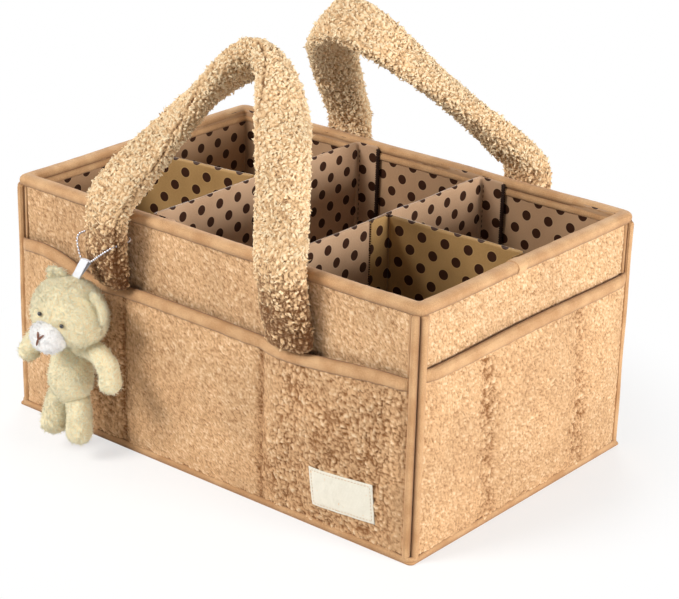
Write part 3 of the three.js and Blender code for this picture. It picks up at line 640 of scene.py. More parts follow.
# Painted shade on the bottom tape: dark at its foot on the floor and where its top tucks in.
bottom_painted_shade = [1, 0.85, 0.6, 0.4, 0.2, 0.12, 0.35, 1, 1, 1]
bottom_line = (191.2, 127.7)
rings = []
for out, z in bottom_section:
    loop, away = round_loop(bottom_line[0] + out, bottom_line[1] + out, 7.5 + out, (190, 126), 8)
    rings.append(ring_at(loop, z))
rings = np.array(rings)
stray = 0.18 * waves(rings[4], 60, 51) + 0.1 * waves(rings[4], 8, 52)
rings[..., :2] += away * (stray * (rings[..., 2] > 0.6))[..., None] * 0.6
rings[..., 2] += 0.6 * waves(rings[4], 45, 53) * np.clip((rings[..., 2] - 2) / 4, 0, 1)
faces = grid_faces(*rings.shape[:2], ring=True, loop=True)
crease = np.repeat(bottom_painted_shade, rings.shape[1])
bottom_tape = make_piece(
    "bottom_tape", rings.reshape(-1, 3), faces, body_tape, "tape", crease=crease
)
mount(bottom_tape, "caddy", "bottom_binding")

# Corner strips: the tape folded round two cords that stand side by side on each corner, with the
# seam of the walls in the groove between them. Their flat edges are caught under the pockets.
STRIP_AT = (192.2, 128.7)
STRIP_TOP = 180.4
CORD_HALF = 2.9
CORD_AT = (6.8, 2.85)
STRIP_CORE = 6.9

# One half of the section: its flat edge, the line beside the cord, and round it to the groove
side = [(12.6, 3.9), (12.3, 2.9), (11.2, 2.5), (10.3, 2.6), (9.75, 3.5)]
for turn in np.radians(np.linspace(-8, -212, 16)):
    side.append((CORD_AT[0] + CORD_HALF * math.cos(turn), CORD_AT[1] + CORD_HALF * math.sin(turn)))
outline = side + [(q, p) for p, q in side[-2::-1]]
outline += [(STRIP_CORE, 12.6), (STRIP_CORE, STRIP_CORE), (12.6, STRIP_CORE)]
# Painted shade on a corner strip, one value for each place of its half section: dark beside each
# cord and in the groove, lighter over the cords.
half_painted_shade = [0.6, 0.35, 0.25, 0.5, 1, 0.7, 0.45, 0.3, *[0.15] * 7, 0.25, 0.4, 0.55, 0.75, 0.9, 1]
strip_painted_shade = half_painted_shade + half_painted_shade[-2::-1] + [0, 0, 0]
core_away = np.hypot(*[at - STRIP_CORE for at in STRIP_AT])
corner_signs = {
    "front_right": (1, -1), "front_left": (-1, -1), "back_left": (-1, 1), "back_right": (1, 1)
}
for name, (sign_x, sign_y) in corner_signs.items():
    low, high = box_of(f"{name}_corner_binding")
    levels = np.append(
        steps_between(low[2], STRIP_TOP - 2, 4.0), STRIP_TOP - np.array([1.0, 0.3, 0])
    )
    rings = []
    for z in levels:
        closed = 0.75 + 0.25 * math.sqrt(min(1, (STRIP_TOP - z) / 2))
        inward = STRIP_CORE + (np.array(outline) - STRIP_CORE) * closed
        flat = (np.array(STRIP_AT) - inward) * (sign_x, sign_y)
        rings.append(ring_at(flat, z))
    rings = np.array(rings)
    proud = np.maximum(0, np.linalg.norm(rings[0, :, :2], axis=1) - core_away)
    sway = (
        0.3
        * waves_along(levels, 70, 61, sign_x * 40 + sign_y * 90)[:, None]
        * np.minimum(proud / 6, 1)
    )
    rings[..., 0] += sign_x * sway * 0.5
    rings[..., 1] += sign_y * sway * 0.5
    crease = np.tile(strip_painted_shade, len(levels))
    strip = make_piece(f"{name}_strip", *skin(rings), body_tape, "tape", crease=crease)
    mount(strip, "caddy", f"{name}_corner_binding")

# Pockets: plush laid over each wall and caught in the corner strips and the bottom tape, the long
# ones sewn to the wall along two lines. Each bellies out between its seams, its pile lies smooth
# in places and ruffled in others, and a few soft creases run down from the hem.
FACE_X = 189.0
FACE_Y = 125.5
POCKET_X = 183.5
POCKET_Y = 120.0
POCKET_FOOT = 9.3
POCKET_THICK = 2.8
POCKET_STEP = 1.2
FRONT_HEM = (
    [-182, -170, -150, -130, -115, -105, -86, -67, -55, -20, 20, 57, 70, 82, 95, 105, 132, 163,
     182],
    [138.5, 141.5, 142, 138.5, 132.5, 130.2, 130, 130.3, 131.5, 131.8, 131.2, 129, 127, 127.5,
     129.2, 130.2, 133.3, 135.8, 135.2],
)
HEM_TAPE = 9.0
WALLS = {
    "front": lambda a, out, z: np.stack([a, -FACE_Y - out, z], axis=-1),
    "back": lambda a, out, z: np.stack([-a, FACE_Y + out, z], axis=-1),
    "right": lambda a, out, z: np.stack([FACE_X + out, a, z], axis=-1),
    "left": lambda a, out, z: np.stack([-FACE_X - out, -a, z], axis=-1),
}
SEAMS = {"front": [-77, 57], "back": [-60, 60], "right": [], "left": []}
BULGES = {"front": [11, 8, 10.5], "back": [9, 8, 9], "right": [7], "left": [7]}
CREASES = {
    "front": [(-150, 16, 1.6), (-108, 20, -2.0), (-60, 9, 1.2), (-20, 26, -0.6), (36, 12, 1.4),
              (84, 13, -1.8), (122, 22, 1.6)],
    "back": [(-140, 20, 1.4), (-95, 14, -1.2), (-20, 22, 1.2), (40, 16, -1.0), (110, 20, 1.6)],
    "right": [(-52, 7, -2.6), (-44, 5, -1.4), (60, 7, -2.8), (70, 5, -1.2), (10, 30, 1.2)],
    "left": [(-60, 14, -1.8), (10, 20, 1.2), (48, 12, -1.6)],
}


def hem_height(wall, a):
    """The top of a pocket's hem. The front one droops towards its seams, the end ones run level."""
    if wall == "front":
        return np.mean([np.interp(a + step, *FRONT_HEM) for step in (-7, -3.5, 0, 3.5, 7)], axis=0)
    if wall == "back":
        return 129 + 9 * (np.maximum(0, np.abs(a) - 60) / (POCKET_X - 60)) ** 2
    return 142 + 0.8 * np.cos(a / 34)


def pocket_edges(wall):
    """The places where a pocket is held: its two ends and the seams between them."""
    half = POCKET_X if wall in ("front", "back") else POCKET_Y
    return [-half, *SEAMS[wall], half]


def crease_at(at, depth, z):
    """Where a crease runs at a height. It leans, and one that dips leans the other way."""
    return at + 0.12 * (z - 70) * math.copysign(1, depth)


def stand_off(wall, a, z):
    """How far the inside of a pocket stands off its wall."""
    edges = pocket_edges(wall)
    belly = np.zeros_like(a)
    for start, end, bulge in zip(edges, edges[1:], BULGES[wall]):
        share = np.clip((a - start) / (end - start), 0, 1)
        belly += bulge * np.sin(math.pi * share) ** 0.6
    up = np.clip((z - POCKET_FOOT) / (hem_height(wall, a) - POCKET_FOOT), 0, 1)
    free = np.minimum(belly / 7, 1)
    crease = np.zeros_like(a)
    for at, width, depth in CREASES[wall]:
        near = np.exp(-(((a - crease_at(at, depth, z)) / width) ** 2))
        crease += depth * near * np.sin(math.pi * np.clip(up * 1.05, 0, 1)) ** 0.6
    gather = 0.5 * np.sin(a / 2.6 + 2 * np.sin(a / 17)) * np.exp(-(z - POCKET_FOOT) / 9)
    closing = 0.6 if wall in ("front", "back") else 0.9
    return 0.3 + belly * up**0.55 * (1 - closing * up**3) + free * (crease + gather)


def tucked(wall, a):
    """How much of its thickness a pocket keeps, where its ends slip in under the corner strips."""
    return 0.35 + 0.65 * np.clip((pocket_edges(wall)[-1] - np.abs(a)) / 8, 0, 1)


def pocket_stations(wall):
    """Places along a pocket, closer together next to its seams."""
    edges = pocket_edges(wall)
    places = []
    for start, end in zip(edges, edges[1:]):
        count = round((end - start) / POCKET_STEP)
        share = np.arange(count) / count
        share = 0.75 * share + 0.25 * (1 - np.cos(math.pi * share)) / 2
        places.append(start + (end - start) * share)
    return np.concatenate([*places, edges[-1:]])


def thread_finish(name, dark, light, **shader_values):
    """Spun sewing thread in two shades of one colour."""
    finish, tree, shader, place = new_finish(name, **shader_values)
    strand = span(tree, noise(tree, place, 2500.0, 2.0), 0.35, 0.65)
    dress(tree, shader, blend_colours(tree, strand, linear(*dark), linear(*light)))
    return finish


thread = thread_finish(
    "matching_thread", (170, 124, 80), (206, 160, 112), Roughness=0.55, Sheen_Weight=0.2
)


def unit(directions):
    """The same directions, each one long."""
    return directions / np.linalg.norm(directions, axis=1, keepdims=True)


def places_at(at, along, line):
    """The line's places at other distances along it."""
    return np.column_stack([np.interp(at, along, column) for column in line.T])


def scatter(form, faces, centres, along, away):
    """Copies of a small form, each turned so that its X runs along and its Z points away."""
    along = unit(along)
    side = unit(np.cross(away, along))
    turned = np.stack([along, side, np.cross(along, side)], axis=1)
    points = centres[:, None, :] + np.einsum("pk,nkc->npc", form, turned)
    shift = (np.arange(len(centres)) * len(form))[:, None, None]
    return points.reshape(-1, 3), (faces[None] + shift).reshape(-1, faces.shape[1])


def small_ball(rows=6, columns=8):
    """A closed ball one across, of four-sided faces that close to points at its two ends."""
    turns = np.linspace(0.02, math.pi - 0.02, rows)
    round_ = np.linspace(0, 2 * math.pi, columns, endpoint=False)
    rings = [
        [(-math.cos(t), math.sin(t) * math.cos(r), math.sin(t) * math.sin(r)) for r in round_]
        for t in turns
    ]
    return np.array(rings).reshape(-1, 3) / 2, grid_faces(rows, columns, ring=True)


def stitch_line(name, line, away, pitch, length, width, body, finish=None, slot="tape"):
    """A row of stitches along a line: short threads that dip into the cloth at both ends."""
    along = length_along(line)
    count = max(2, int(along[-1] / pitch))
    at = (np.arange(count) + 0.5) * along[-1] / count
    centres = places_at(at, along, line)
    ahead = places_at(at + 0.4, along, line) - centres
    form, faces = small_ball()
    form = form * (length, width, width * 0.8)
    points, faces = scatter(form, faces, centres, ahead, places_at(at, along, away))
    return mount(make_piece(name, points, faces, finish or thread, slot), body)


HEM_SECTION = [
    (-0.2, -1.4), (0.0, 0.1), (0.6, 1.2), (2.0, 1.8), (4.0, 2.0), (6.2, 1.7), (8.0, 1.0),
    (9.2, -0.2), (9.5, -1.5), (9.0, -2.8), (8.0, -3.3), (4.0, -3.4), (0.3, -3.2),
]
# Painted shade on the hem: dark at its foot and over its back, against the pocket.
HEM_PAINTED_SHADE = [1, 1, 0.6, 0.25, 0.12, 0.1, 0.16, 0.35, 0.75, 1, 1, 1, 1]
HEM_LAP = 1.5
POCKET_LOW = 2.4
for wall, place_on in WALLS.items():
    stations = pocket_stations(wall)
    shares = np.linspace(0, 1, round(125 / POCKET_STEP))
    a, share = np.meshgrid(stations, shares, indexing="ij")
    top = hem_height(wall, a) - HEM_TAPE + HEM_LAP
    z = POCKET_LOW + (top - POCKET_LOW) * share
    off = stand_off(wall, a, z)
    tuck = np.clip((z - POCKET_LOW) / 7, 0, 1)
    pinch = sum((np.exp(-(((a - at) / 3.2) ** 2)) for at in SEAMS[wall]), np.zeros_like(a))
    outer = place_on(
        a, (off + POCKET_THICK * tucked(wall, a) - 1.3 * pinch) * tuck + 2.2 * (1 - tuck), z
    )
    inner = place_on(a, np.minimum(off, 0.3 + off * tuck), z)
    points, faces = sheet_between(outer, inner)
    middle = a.size // 2
    if np.dot(square_to(points, faces)[middle], outer.reshape(-1, 3)[middle] * (1, 1, 0)) < 0:
        faces = faces[:, ::-1]
    away = square_to(points, faces)
    smooth, smooth_pile = raise_pile(points, away, PLUSH_KNOT, PLUSH_DEPTH, 71, a.size)
    ruffled, ruffled_pile = raise_pile(
        points, away, 1.35 * PLUSH_KNOT, 2.8 * PLUSH_DEPTH, 81, a.size
    )
    run, height = np.tile(a.ravel(), 2), points[:, 2]
    rough = (0.1 if wall in ("front", "back") else 0.05) + 0.4 * waves(points * (1, 1, 0.6), 75, 91)
    if wall == "front":
        rough += np.interp(
            run, (-77, -60, 50, 60, 88, 165, 182), (-0.05, -0.3, -0.35, 0.1, 0.85, 0.85, 0.35)
        )
    for at, width, depth in CREASES[wall]:
        near = np.exp(-(((run - crease_at(at, depth, height)) / (1.5 * width)) ** 2))
        rough += near * np.clip(-depth / 3, 0, 0.8)
    rough = np.clip(rough, 0, 1)
    points = smooth + (ruffled - smooth) * rough[:, None]
    # Ruffled places get a darker pile colour, as painted shade in their deeper dips, and the seams
    # a darker line, as painted shade where the cloth is pinched to the wall.
    ruffled_pile = 1.45 * ruffled_pile - 0.4
    pile = smooth_pile + (ruffled_pile - smooth_pile) * rough - 0.3 * np.tile(pinch.ravel(), 2)
    pocket = make_piece(f"{wall}_pocket_plush", points, faces, body_plush, "plush", pile=pile)
    mount(pocket, "caddy", f"{wall}_pocket")
    length = length_along(outer[:, -1])[-1]

    # The hem: the same tape folded over the pocket's raw edge and stitched near its foot
    line = stations[::2] if len(stations) % 2 else np.append(stations[::2], stations[-1])
    rings = []
    for rise, proud in HEM_SECTION:
        z = hem_height(wall, line) - HEM_TAPE + rise
        puff = 0.25 * waves_along(line, 14, 95) + 0.2 * waves_along(line, 6, 96)
        depth = (POCKET_THICK + proud + puff * (proud > -1)) * tucked(wall, line)
        rings.append(place_on(line, stand_off(wall, line, z) + depth, z))
    rings = np.array(rings).transpose(1, 0, 2)
    crease = np.tile(HEM_PAINTED_SHADE, len(line))
    hem = make_piece(f"{wall}_pocket_hem", *skin(rings), body_tape, "tape", crease=crease)
    mount(hem, "caddy", f"{wall}_pocket_binding")
    z = hem_height(wall, line) - HEM_TAPE + HEM_LAP
    seam = place_on(line, stand_off(wall, line, z) + (POCKET_THICK + 1.1) * tucked(wall, line), z)
    away = place_on(0 * line, 0 * line + 1, 0 * line) - place_on(0 * line, 0 * line, 0 * line)
    stitch_line(f"{wall}_hem_stitches", seam, away, 3.2, 2.3, 0.5, "caddy")
    for at in SEAMS[wall]:
        z = np.linspace(11, hem_height(wall, np.array(at)) - 10, 60)
        a = np.full(60, float(at))
        seam = place_on(a, stand_off(wall, a, z) + POCKET_THICK - 0.9, z)
        name = f"{wall}_pocket_seam_{'left' if at < 0 else 'right'}"
        stitch_line(name, seam, np.tile(away[0], (60, 1)), 3.2, 2.4, 0.6, "caddy")

# Label: a bare satin label, woven in cream, its ends folded under and its edge sewn down on the
# third front pocket. It rides on the pile, so it rises and dips a little with it.
LABEL_AT = (134.0, 36.0)
LABEL_SIZE = (54.0, 30.0)
LABEL_TILT = 3.0

label_satin = woven_finish(
    "label_satin", 0.45, 0.5, (216, 211, 194), (238, 234, 220), Roughness=0.4, Sheen_Weight=0.15
)


def label_point(across, up, off):
    """A place on the label, in its own width and height from its middle, off the pocket's face."""
    tilt = math.radians(LABEL_TILT)
    a = LABEL_AT[0] + across * math.cos(tilt) - up * math.sin(tilt)
    z = LABEL_AT[1] + across * math.sin(tilt) + up * math.cos(tilt)
    return WALLS["front"](a, stand_off("front", a, z) + POCKET_THICK + off, z)


half_wide, half_high = [size / 2 for size in LABEL_SIZE]
across, up = np.meshgrid(
    *[steps_between(-half, half, 0.9) for half in (half_wide, half_high)], indexing="ij"
)
inside = np.minimum(half_wide - np.abs(across), half_high - np.abs(up))
flat = np.column_stack([across.ravel(), up.ravel()])
ripple = (
    0.22 * waves(flat, 9, 101).reshape(across.shape)
    + 0.18 * waves(flat, 22, 102).reshape(across.shape)
)
sewn = np.exp(-(((inside - 2.0) / 0.6) ** 2))
face = 1.15 + ripple * np.clip(inside / 4, 0, 1) - 0.35 * sewn - 0.3 * np.exp(-inside / 0.5)
points, faces = sheet_between(
    label_point(across, up, face), label_point(across, up, 0.35 + 0 * face)
)
label = make_piece("bare_label", points, faces, label_satin, "label")
mount(label, "caddy", "sewn_label")
size = (LABEL_SIZE[0] / 1000, LABEL_SIZE[1] / 1000)
corners = np.array([(-1, -1), (1, -1), (1, 1), (-1, 1), (-1, -1)]) * (half_wide - 2, half_high - 2)
ring = np.concatenate(
    [np.linspace(p, q, 30)[:-1] for p, q in zip(corners, corners[1:])] + [corners[-1:]]
)
seam = label_point(ring[:, 0], ring[:, 1], np.full(len(ring), 0.95))
outward = np.tile((0.0, -1.0, 0.0), (len(ring), 1))
stitch_line("label_stitches", seam, outward, 2.6, 1.8, 0.4, "caddy", slot="label")

# Handles: each is one long tube of a deeper teddy plush stuffed round a foam core, sewn to the
# wall above the pocket at both ends. It lies on the wall, bends over at the rim and turns flat
# over the top. One seam runs along it.
STRAP_WIDTH = 38.0
STRAP_THICK = 20.0
STRAP_STEP = 0.85
STRAP_SIDES = 124
HINGE_Y = 138.9
HINGE_Z = 197.0
STRAP_FOOT = 129.0
STRAP_SEWN = 130.9
HANDLES = {
    "front": {
        "rim_x": 80.0, "height": 134.0, "shift": 16.0, "lean": 42.0, "turned": False, "twist": 13.0
    },
    "back": {
        "rim_x": 87.0, "height": 140.0, "shift": -22.0, "lean": 40.0, "turned": True, "twist": 0.0
    },
}


def strap_line(rim_x, height, shift, lean, turned, twist):
    """The middle of a strap from its left foot to its right one, with the directions across it and
    through it, its thickness, and how far along it each place is. It is drawn for the front, and
    turned round for the back."""
    lean = math.radians(lean)
    centres, across, through, thick = [], [], [], []

    def foot(side, z):
        share = (z - STRAP_FOOT) / (217 - STRAP_SEWN)
        slant = min(1.0, max(0.0, (z - STRAP_SEWN) / (HINGE_Z - STRAP_SEWN)))
        thickness = 13 + 7 * np.interp(share, (0, 0.14, 0.34), (0, 0.55, 1))
        off = 0.3 + 3.1 * np.interp(share, (0, 0.14, 0.34, 0.62), (0, 0, 0.75, 1))
        turn = math.radians(twist) * (0.6 + 0.4 * slant) if side < 0 else 0.0
        off += 12 * math.sin(turn) * 0.6
        centres.append((side * (86 + (rim_x - 86) * slant), -FACE_Y - off - thickness / 2, z))
        across.append((-side * math.cos(turn), side * math.sin(turn), 0))
        through.append((math.sin(turn), math.cos(turn), 0))
        thick.append(thickness)

    def on_arch(share):
        """A place on the loop in its own plane, from -1 at one foot to 1 at the other."""
        a = abs(share)
        drop = (math.hypot(a, 0.5) - 0.5) / (math.hypot(1, 0.5) - 0.5)
        return rim_x * share - shift * (1 - a**1.6), height * (1 - drop)

    for z in np.arange(STRAP_FOOT, HINGE_Z - 6, 1.0):
        foot(-1, z)
    for share in np.linspace(-1, 1, 500):
        x, z = on_arch(share)
        if z < 4:
            continue
        next_x, next_z = on_arch(share + 1e-4)
        run = np.array([next_x - x, 0, next_z - z])
        run /= np.linalg.norm(run)
        out = np.array([0, 1, 0])
        turn = math.pi / 2 * math.sin(math.pi / 2 * (1 - abs(share))) ** 2
        early = math.radians(twist) * max(0.0, 1 - z / 60) if share < 0 else 0.0
        thru = math.cos(turn - early) * out + math.sin(turn - early) * np.cross(out, run)
        wide = np.cross(thru, run)
        tip = np.array(
            [(1, 0, 0), (0, math.cos(lean), math.sin(lean)), (0, -math.sin(lean), math.cos(lean))]
        )
        centres.append(tip @ (x, 0, z) + (0, -HINGE_Y - 5 * math.sin(early), HINGE_Z))
        across.append(tip @ wide)
        through.append(tip @ thru)
        thick.append(STRAP_THICK)
    for z in np.arange(HINGE_Z - 6, STRAP_FOOT - 0.5, -1.0):
        foot(1, z)
    line = np.array(centres)
    along = length_along(line)
    even = np.linspace(0, along[-1], round(along[-1] / STRAP_STEP))

    def eased(values):
        values = np.array(values, dtype=float).reshape(len(line), -1)
        laid = places_at(even, along, values)
        reach = round(9 / STRAP_STEP)
        weight = np.hanning(2 * reach + 1)
        padded = np.concatenate(
            [np.repeat(laid[:1], reach, 0), laid, np.repeat(laid[-1:], reach, 0)]
        )
        return np.column_stack(
            [np.convolve(column, weight / weight.sum(), "valid") for column in padded.T]
        )

    middle, wide, deep, thickness = eased(line), eased(across), eased(through), eased(thick)[:, 0]
    run = unit(np.gradient(middle, axis=0))
    deep = unit(deep - run * np.sum(deep * run, axis=1, keepdims=True))
    wide = np.cross(deep, run)
    if turned:
        middle, wide, deep = [v * (-1, -1, 1) for v in (middle, wide, deep)]
    return middle, wide, deep, thickness, even


def curls(points, away, pile, count, length, width, seed, sides=5):
    """Short tufts on the high places of a pile, each bent over its own way and thinner at its tip.
    Returns their points and faces, and how high in the pile each point is."""
    rng = np.random.default_rng(seed)
    high = np.flatnonzero(pile > np.quantile(pile, 0.35))
    chosen = rng.choice(high, count, replace=False)
    round_ = np.linspace(0, 2 * math.pi, sides, endpoint=False)
    all_points, all_faces, heights = [], [], []
    for group, part in enumerate(np.array_split(chosen, 4)):
        long_, thick, bend = (
            length * (0.7 + 0.2 * group), width * (1.15 - 0.1 * group), 0.7 + 0.15 * group
        )
        rings = []
        for share in (0.0, 0.35, 0.65, 0.88, 1.0):
            half = thick / 2 * math.sqrt(1.02 - share**2.2)
            middle = np.array(
                [bend * long_ * share**2, 0, long_ * share * (1 - 0.25 * share) - 0.3 * long_]
            )
            rings.append([middle + (half * math.cos(t), half * math.sin(t), 0) for t in round_])
        form, faces = np.array(rings).reshape(-1, 3), grid_faces(5, sides, ring=True)
        sideways = np.cross(away[part], rng.normal(size=(len(part), 3)))
        placed, joined = scatter(form, faces, points[part], sideways, away[part])
        all_faces.append(joined + sum(map(len, all_points)))
        all_points.append(placed)
        # Each tuft runs from painted shade at its base to a painted highlight at its tip.
        heights.append(np.tile(np.repeat([0.6, 0.9, 1.05, 1.15, 1.2], sides), len(part)))
    return np.concatenate(all_points), np.concatenate(all_faces), np.concatenate(heights)


def strap_section(count):
    """Places round a flat oval, evenly spaced, as shares of its half width and half thickness."""
    turn = np.linspace(0, 2 * math.pi, 1441)
    c = np.sign(np.cos(turn)) * np.abs(np.cos(turn)) ** 0.8
    s = np.sign(np.sin(turn)) * np.abs(np.sin(turn)) ** 0.8
    along = length_along(np.column_stack([c * STRAP_WIDTH, s * STRAP_THICK]))
    at = np.arange(count) / count * along[-1]
    return np.interp(at, along, c), np.interp(at, along, s)


def strap_rings(middle, wide, deep, half_width, half_depth, count):
    """Flat oval rings of points round the middle of a strap."""
    c, s = strap_section(count)
    over = wide[:, None] * (half_width[:, None] * c)[..., None]
    return middle[:, None] + over + deep[:, None] * (half_depth[:, None] * s)[..., None]


def low_down(points):
    """How far down the strap a point is: 0 above the rim, 1 towards the sewn ends."""
    return np.clip((202 - points[:, 2]) / 50, 0, 1)


handle_plush = plush_finish(
    "handle_plush", (116, 70, 34), (238, 199, 152), (255, 232, 194), 1.1, 0.3
)
foam, tree, shader, place = new_finish("foam", Roughness=0.95)
pores = node(tree, "TexVoronoi", {"Vector": place, "Scale": 1400.0})
# The pores are painted darker, as painted shade in their hollows.
pitted = span(tree, pores.outputs[0], 0.1, 0.5)
shade = blend_colours(tree, pitted, linear(196, 186, 158), linear(236, 230, 208))
dress(tree, shader, shade, relief(tree, pores.outputs[0], 0.0004, 0.6))

for name, arch in HANDLES.items():
    middle, wide, deep, thickness, along = strap_line(**arch)
    to_end = np.minimum(along, along[-1] - along)
    closed = np.sqrt(1 - (1 - np.clip(to_end / 7, 0.02, 1)) ** 2)
    width = STRAP_WIDTH / 2 * (0.25 + 0.75 * closed) + 0.7 * waves_along(along, 55, 111)
    depth = thickness / 2 * closed + 0.6 * waves_along(along, 40, 112, 9) * closed
    points, faces = skin(strap_rings(middle, wide, deep, width, depth, STRAP_SIDES))
    quads = np.array(faces[:-2])
    if np.sum(
        square_to(points, quads)[STRAP_SIDES * 200] * (points[STRAP_SIDES * 200] - middle[200])
    ) < 0:
        quads = quads[:, ::-1]
    turns = np.tile(np.arange(STRAP_SIDES), len(middle))
    sway = np.repeat(waves_along(along, 30, 113), STRAP_SIDES)
    from_seam = np.abs(turns - 0.955 * STRAP_SIDES - 0.8 * sway)
    groove = np.exp(-((from_seam / 1.5) ** 2)) * (1.2 + 0.5 * sway)
    away = square_to(points, quads)
    points, pile = raise_pile(points - away * groove[:, None], away, 3.5, 3.0, 121)
    # Painted shade: the pile is darker along the seam's groove and towards the sewn ends, where the
    # strap lies close to the wall.
    pile -= 0.2 * groove + 0.5 * low_down(points)
    strap = make_piece(
        f"{name}_handle_plush", points, faces, handle_plush, "handle_plush", pile=pile
    )
    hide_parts(f"{name}_handle", f"{name}_handle_left_end", f"{name}_handle_right_end")
    away = square_to(points, quads)
    points, faces, heights = curls(points, away, pile - groove, 4600, 1.8, 1.8, 123)
    # Painted shade: the tufts also darken towards the sewn ends.
    heights -= 0.4 * low_down(points)
    tufts = make_piece(
        f"{name}_handle_curls", points, faces, handle_plush, "handle_plush", pile=heights
    )
    for piece in (strap, tufts):
        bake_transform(piece)

    up = np.flatnonzero(middle[:, 2] > HINGE_Z + 12)[::4]
    inner = 1 - 0.5 * (np.minimum(np.arange(len(up)), np.arange(len(up))[::-1]) < 1)
    lumps = 0.3 * waves(middle[up], 14, 131)
    half_width, half_depth = [inner * (size / 2 - 4 + lumps) for size in (STRAP_WIDTH, STRAP_THICK)]
    rings = strap_rings(middle[up], wide[up], deep[up], half_width, half_depth, 28)
    core = make_piece(f"{name}_handle_foam", *skin(rings), foam, "foam")
    mount(core, f"{name}_handle", f"{name}_handle_core")

# Dividers: sleeves of the same dotted satin over stiff boards. Two stand across the box, with
# flaps along the long walls; two more hang from them by stitched tabs and lean on the end walls.
# Every raw edge of a flap is whipped in dark thread.
DIVIDER_FOOT = 6.9
DIVIDER_TOP = 186.0
PANEL_HALF = 1.6
FLAP_HALF = 0.6
CROSS_X = 60.13
FLAP_Y = 114.5
FOLD_AT = {"right": ((65.13, 0.0), 3.0, 1), "left": ((-65.13, -3.0), 8.0, -1)}
PANEL_REACH = 113.17

# The cross sleeves take a lighter copy of the wall satin, as painted light, and the long sleeves
# and their tabs a darker, more orange copy, as painted shade.
lit_cross_satin = dotted_satin("lit_cross_satin", (190, 157, 127), (165, 130, 99))
shaded_long_satin = dotted_satin("shaded_long_satin", (174, 138, 88), (142, 108, 62))
whip = thread_finish(
    "whip_thread", (22, 11, 6), (50, 28, 17), Roughness=0.7, Specular_IOR_Level=0.2
)


def rounded_path(corners, radius, step):
    """A path through corners with each inner one rounded off, at even steps."""
    corners = [np.array(corner, dtype=float) for corner in corners]
    places = [corners[0]]
    for before, corner, after in zip(corners, corners[1:], corners[2:]):
        start = corner + (before - corner) / np.linalg.norm(before - corner) * radius
        end = corner + (after - corner) / np.linalg.norm(after - corner) * radius
        for t in np.linspace(0, 1, 7):
            places.append((1 - t) ** 2 * start + 2 * t * (1 - t) * corner + t * t * end)
    line = np.array(places + [corners[-1]])
    along = length_along(line)
    at = np.linspace(0, along[-1], round(along[-1] / step) + 1)
    return places_at(at, along, line), at


def sleeve(name, corners, halves, finish, body, seed, stands_for):
    """A satin sleeve or flap that stands on a path, drawn over another piece. halves gives its
    half thickness along the path."""
    line, along = rounded_path(corners, 2.2, 2.2)
    run = np.gradient(line, axis=0)
    away = unit(np.column_stack([run[:, 1], -run[:, 0]]))
    half = np.interp(along, *halves)
    rounding = DIVIDER_TOP - np.array([2.4, 1.6, 1.0, 0.5, 0.15, 0])
    levels = np.concatenate([np.arange(DIVIDER_FOOT, DIVIDER_TOP - 3, 2.5), rounding])
    a, z = np.meshgrid(along, levels, indexing="ij")
    round_top = np.sqrt(np.clip(1 - (1 - np.clip((DIVIDER_TOP - z) / 1.8, 0, 1)) ** 2, 0.02, 1))
    places = np.column_stack([a.ravel(), 0.6 * z.ravel()])
    loose = np.clip(np.minimum(z - DIVIDER_FOOT, DIVIDER_TOP - z) / 25, 0.1, 1)
    sag = 0.35 * waves_along(along, 60, seed + 7)[:, None] * np.clip((z - 150) / 36, 0, 1)
    faces_of = []
    for k, sign in enumerate((1, -1)):
        pull = (
            0.5 * waves(places, 34, seed + k) + 0.22 * waves(places, 12, seed + k + 3)
        ).reshape(a.shape)
        give = np.clip(pull, -0.5, 1) * loose * np.minimum(half[:, None], 0.7)
        off = sign * (half[:, None] * round_top + give)
        flat = line[:, None] + away[:, None] * off[..., None]
        faces_of.append(np.concatenate([flat, (z + sag)[..., None]], axis=-1))
    points, faces = sheet_between(*faces_of)
    face_cloth = [np.column_stack([a.ravel() + 7 * k, z.ravel(), 0 * z.ravel()]) for k in range(2)]
    cloth = np.concatenate(face_cloth) / 1000
    made = make_piece(name, points, faces, finish, "satin", cloth=cloth)
    mount(made, body, stands_for)
    return line, away


def whipped(name, line, away, at, body, reach=1.6):
    """Whip stitches over the upright edge of a flap at the end of its path, index at."""
    levels = np.arange(DIVIDER_FOOT + 2, DIVIDER_TOP - 1, 1.8)
    jitter = np.random.default_rng(len(name)).uniform(-0.5, 0.5, len(levels))
    centres = np.column_stack([np.tile(line[at], (len(levels), 1)), levels])
    ahead = np.column_stack([np.tile(away[at], (len(levels), 1)), 0.25 + 0.3 * jitter])
    outward = np.tile((line[at] - line[at - 3 if at else 3]).tolist() + [0.0], (len(levels), 1))
    form, faces = small_ball()
    size = (3.2 * FLAP_HALF + reach, 1.2 + 0.55 * reach, 1.5 + 0.55 * reach)
    points, faces = scatter(form * size, faces, centres, ahead, outward)
    return mount(make_piece(name, points, faces, whip, "satin"), body)


def side_stitches(name, line, away, index, body):
    """Two rows of dark stitches up a flap, one on each face."""
    z = np.arange(DIVIDER_FOOT + 2, DIVIDER_TOP - 2, 4.0)
    for side in (1, -1):
        edge = line[index] + side * away[index] * (FLAP_HALF + 0.25)
        outward = np.tile((*(side * away[index]), 0.0), (len(z), 1))
        column = np.column_stack([np.tile(edge, (len(z), 1)), z])
        row = f"{name}_{'near' if side > 0 else 'far'}"
        stitch_line(row, column, outward, 4.0, 2.6, 0.55, body, whip, "satin")


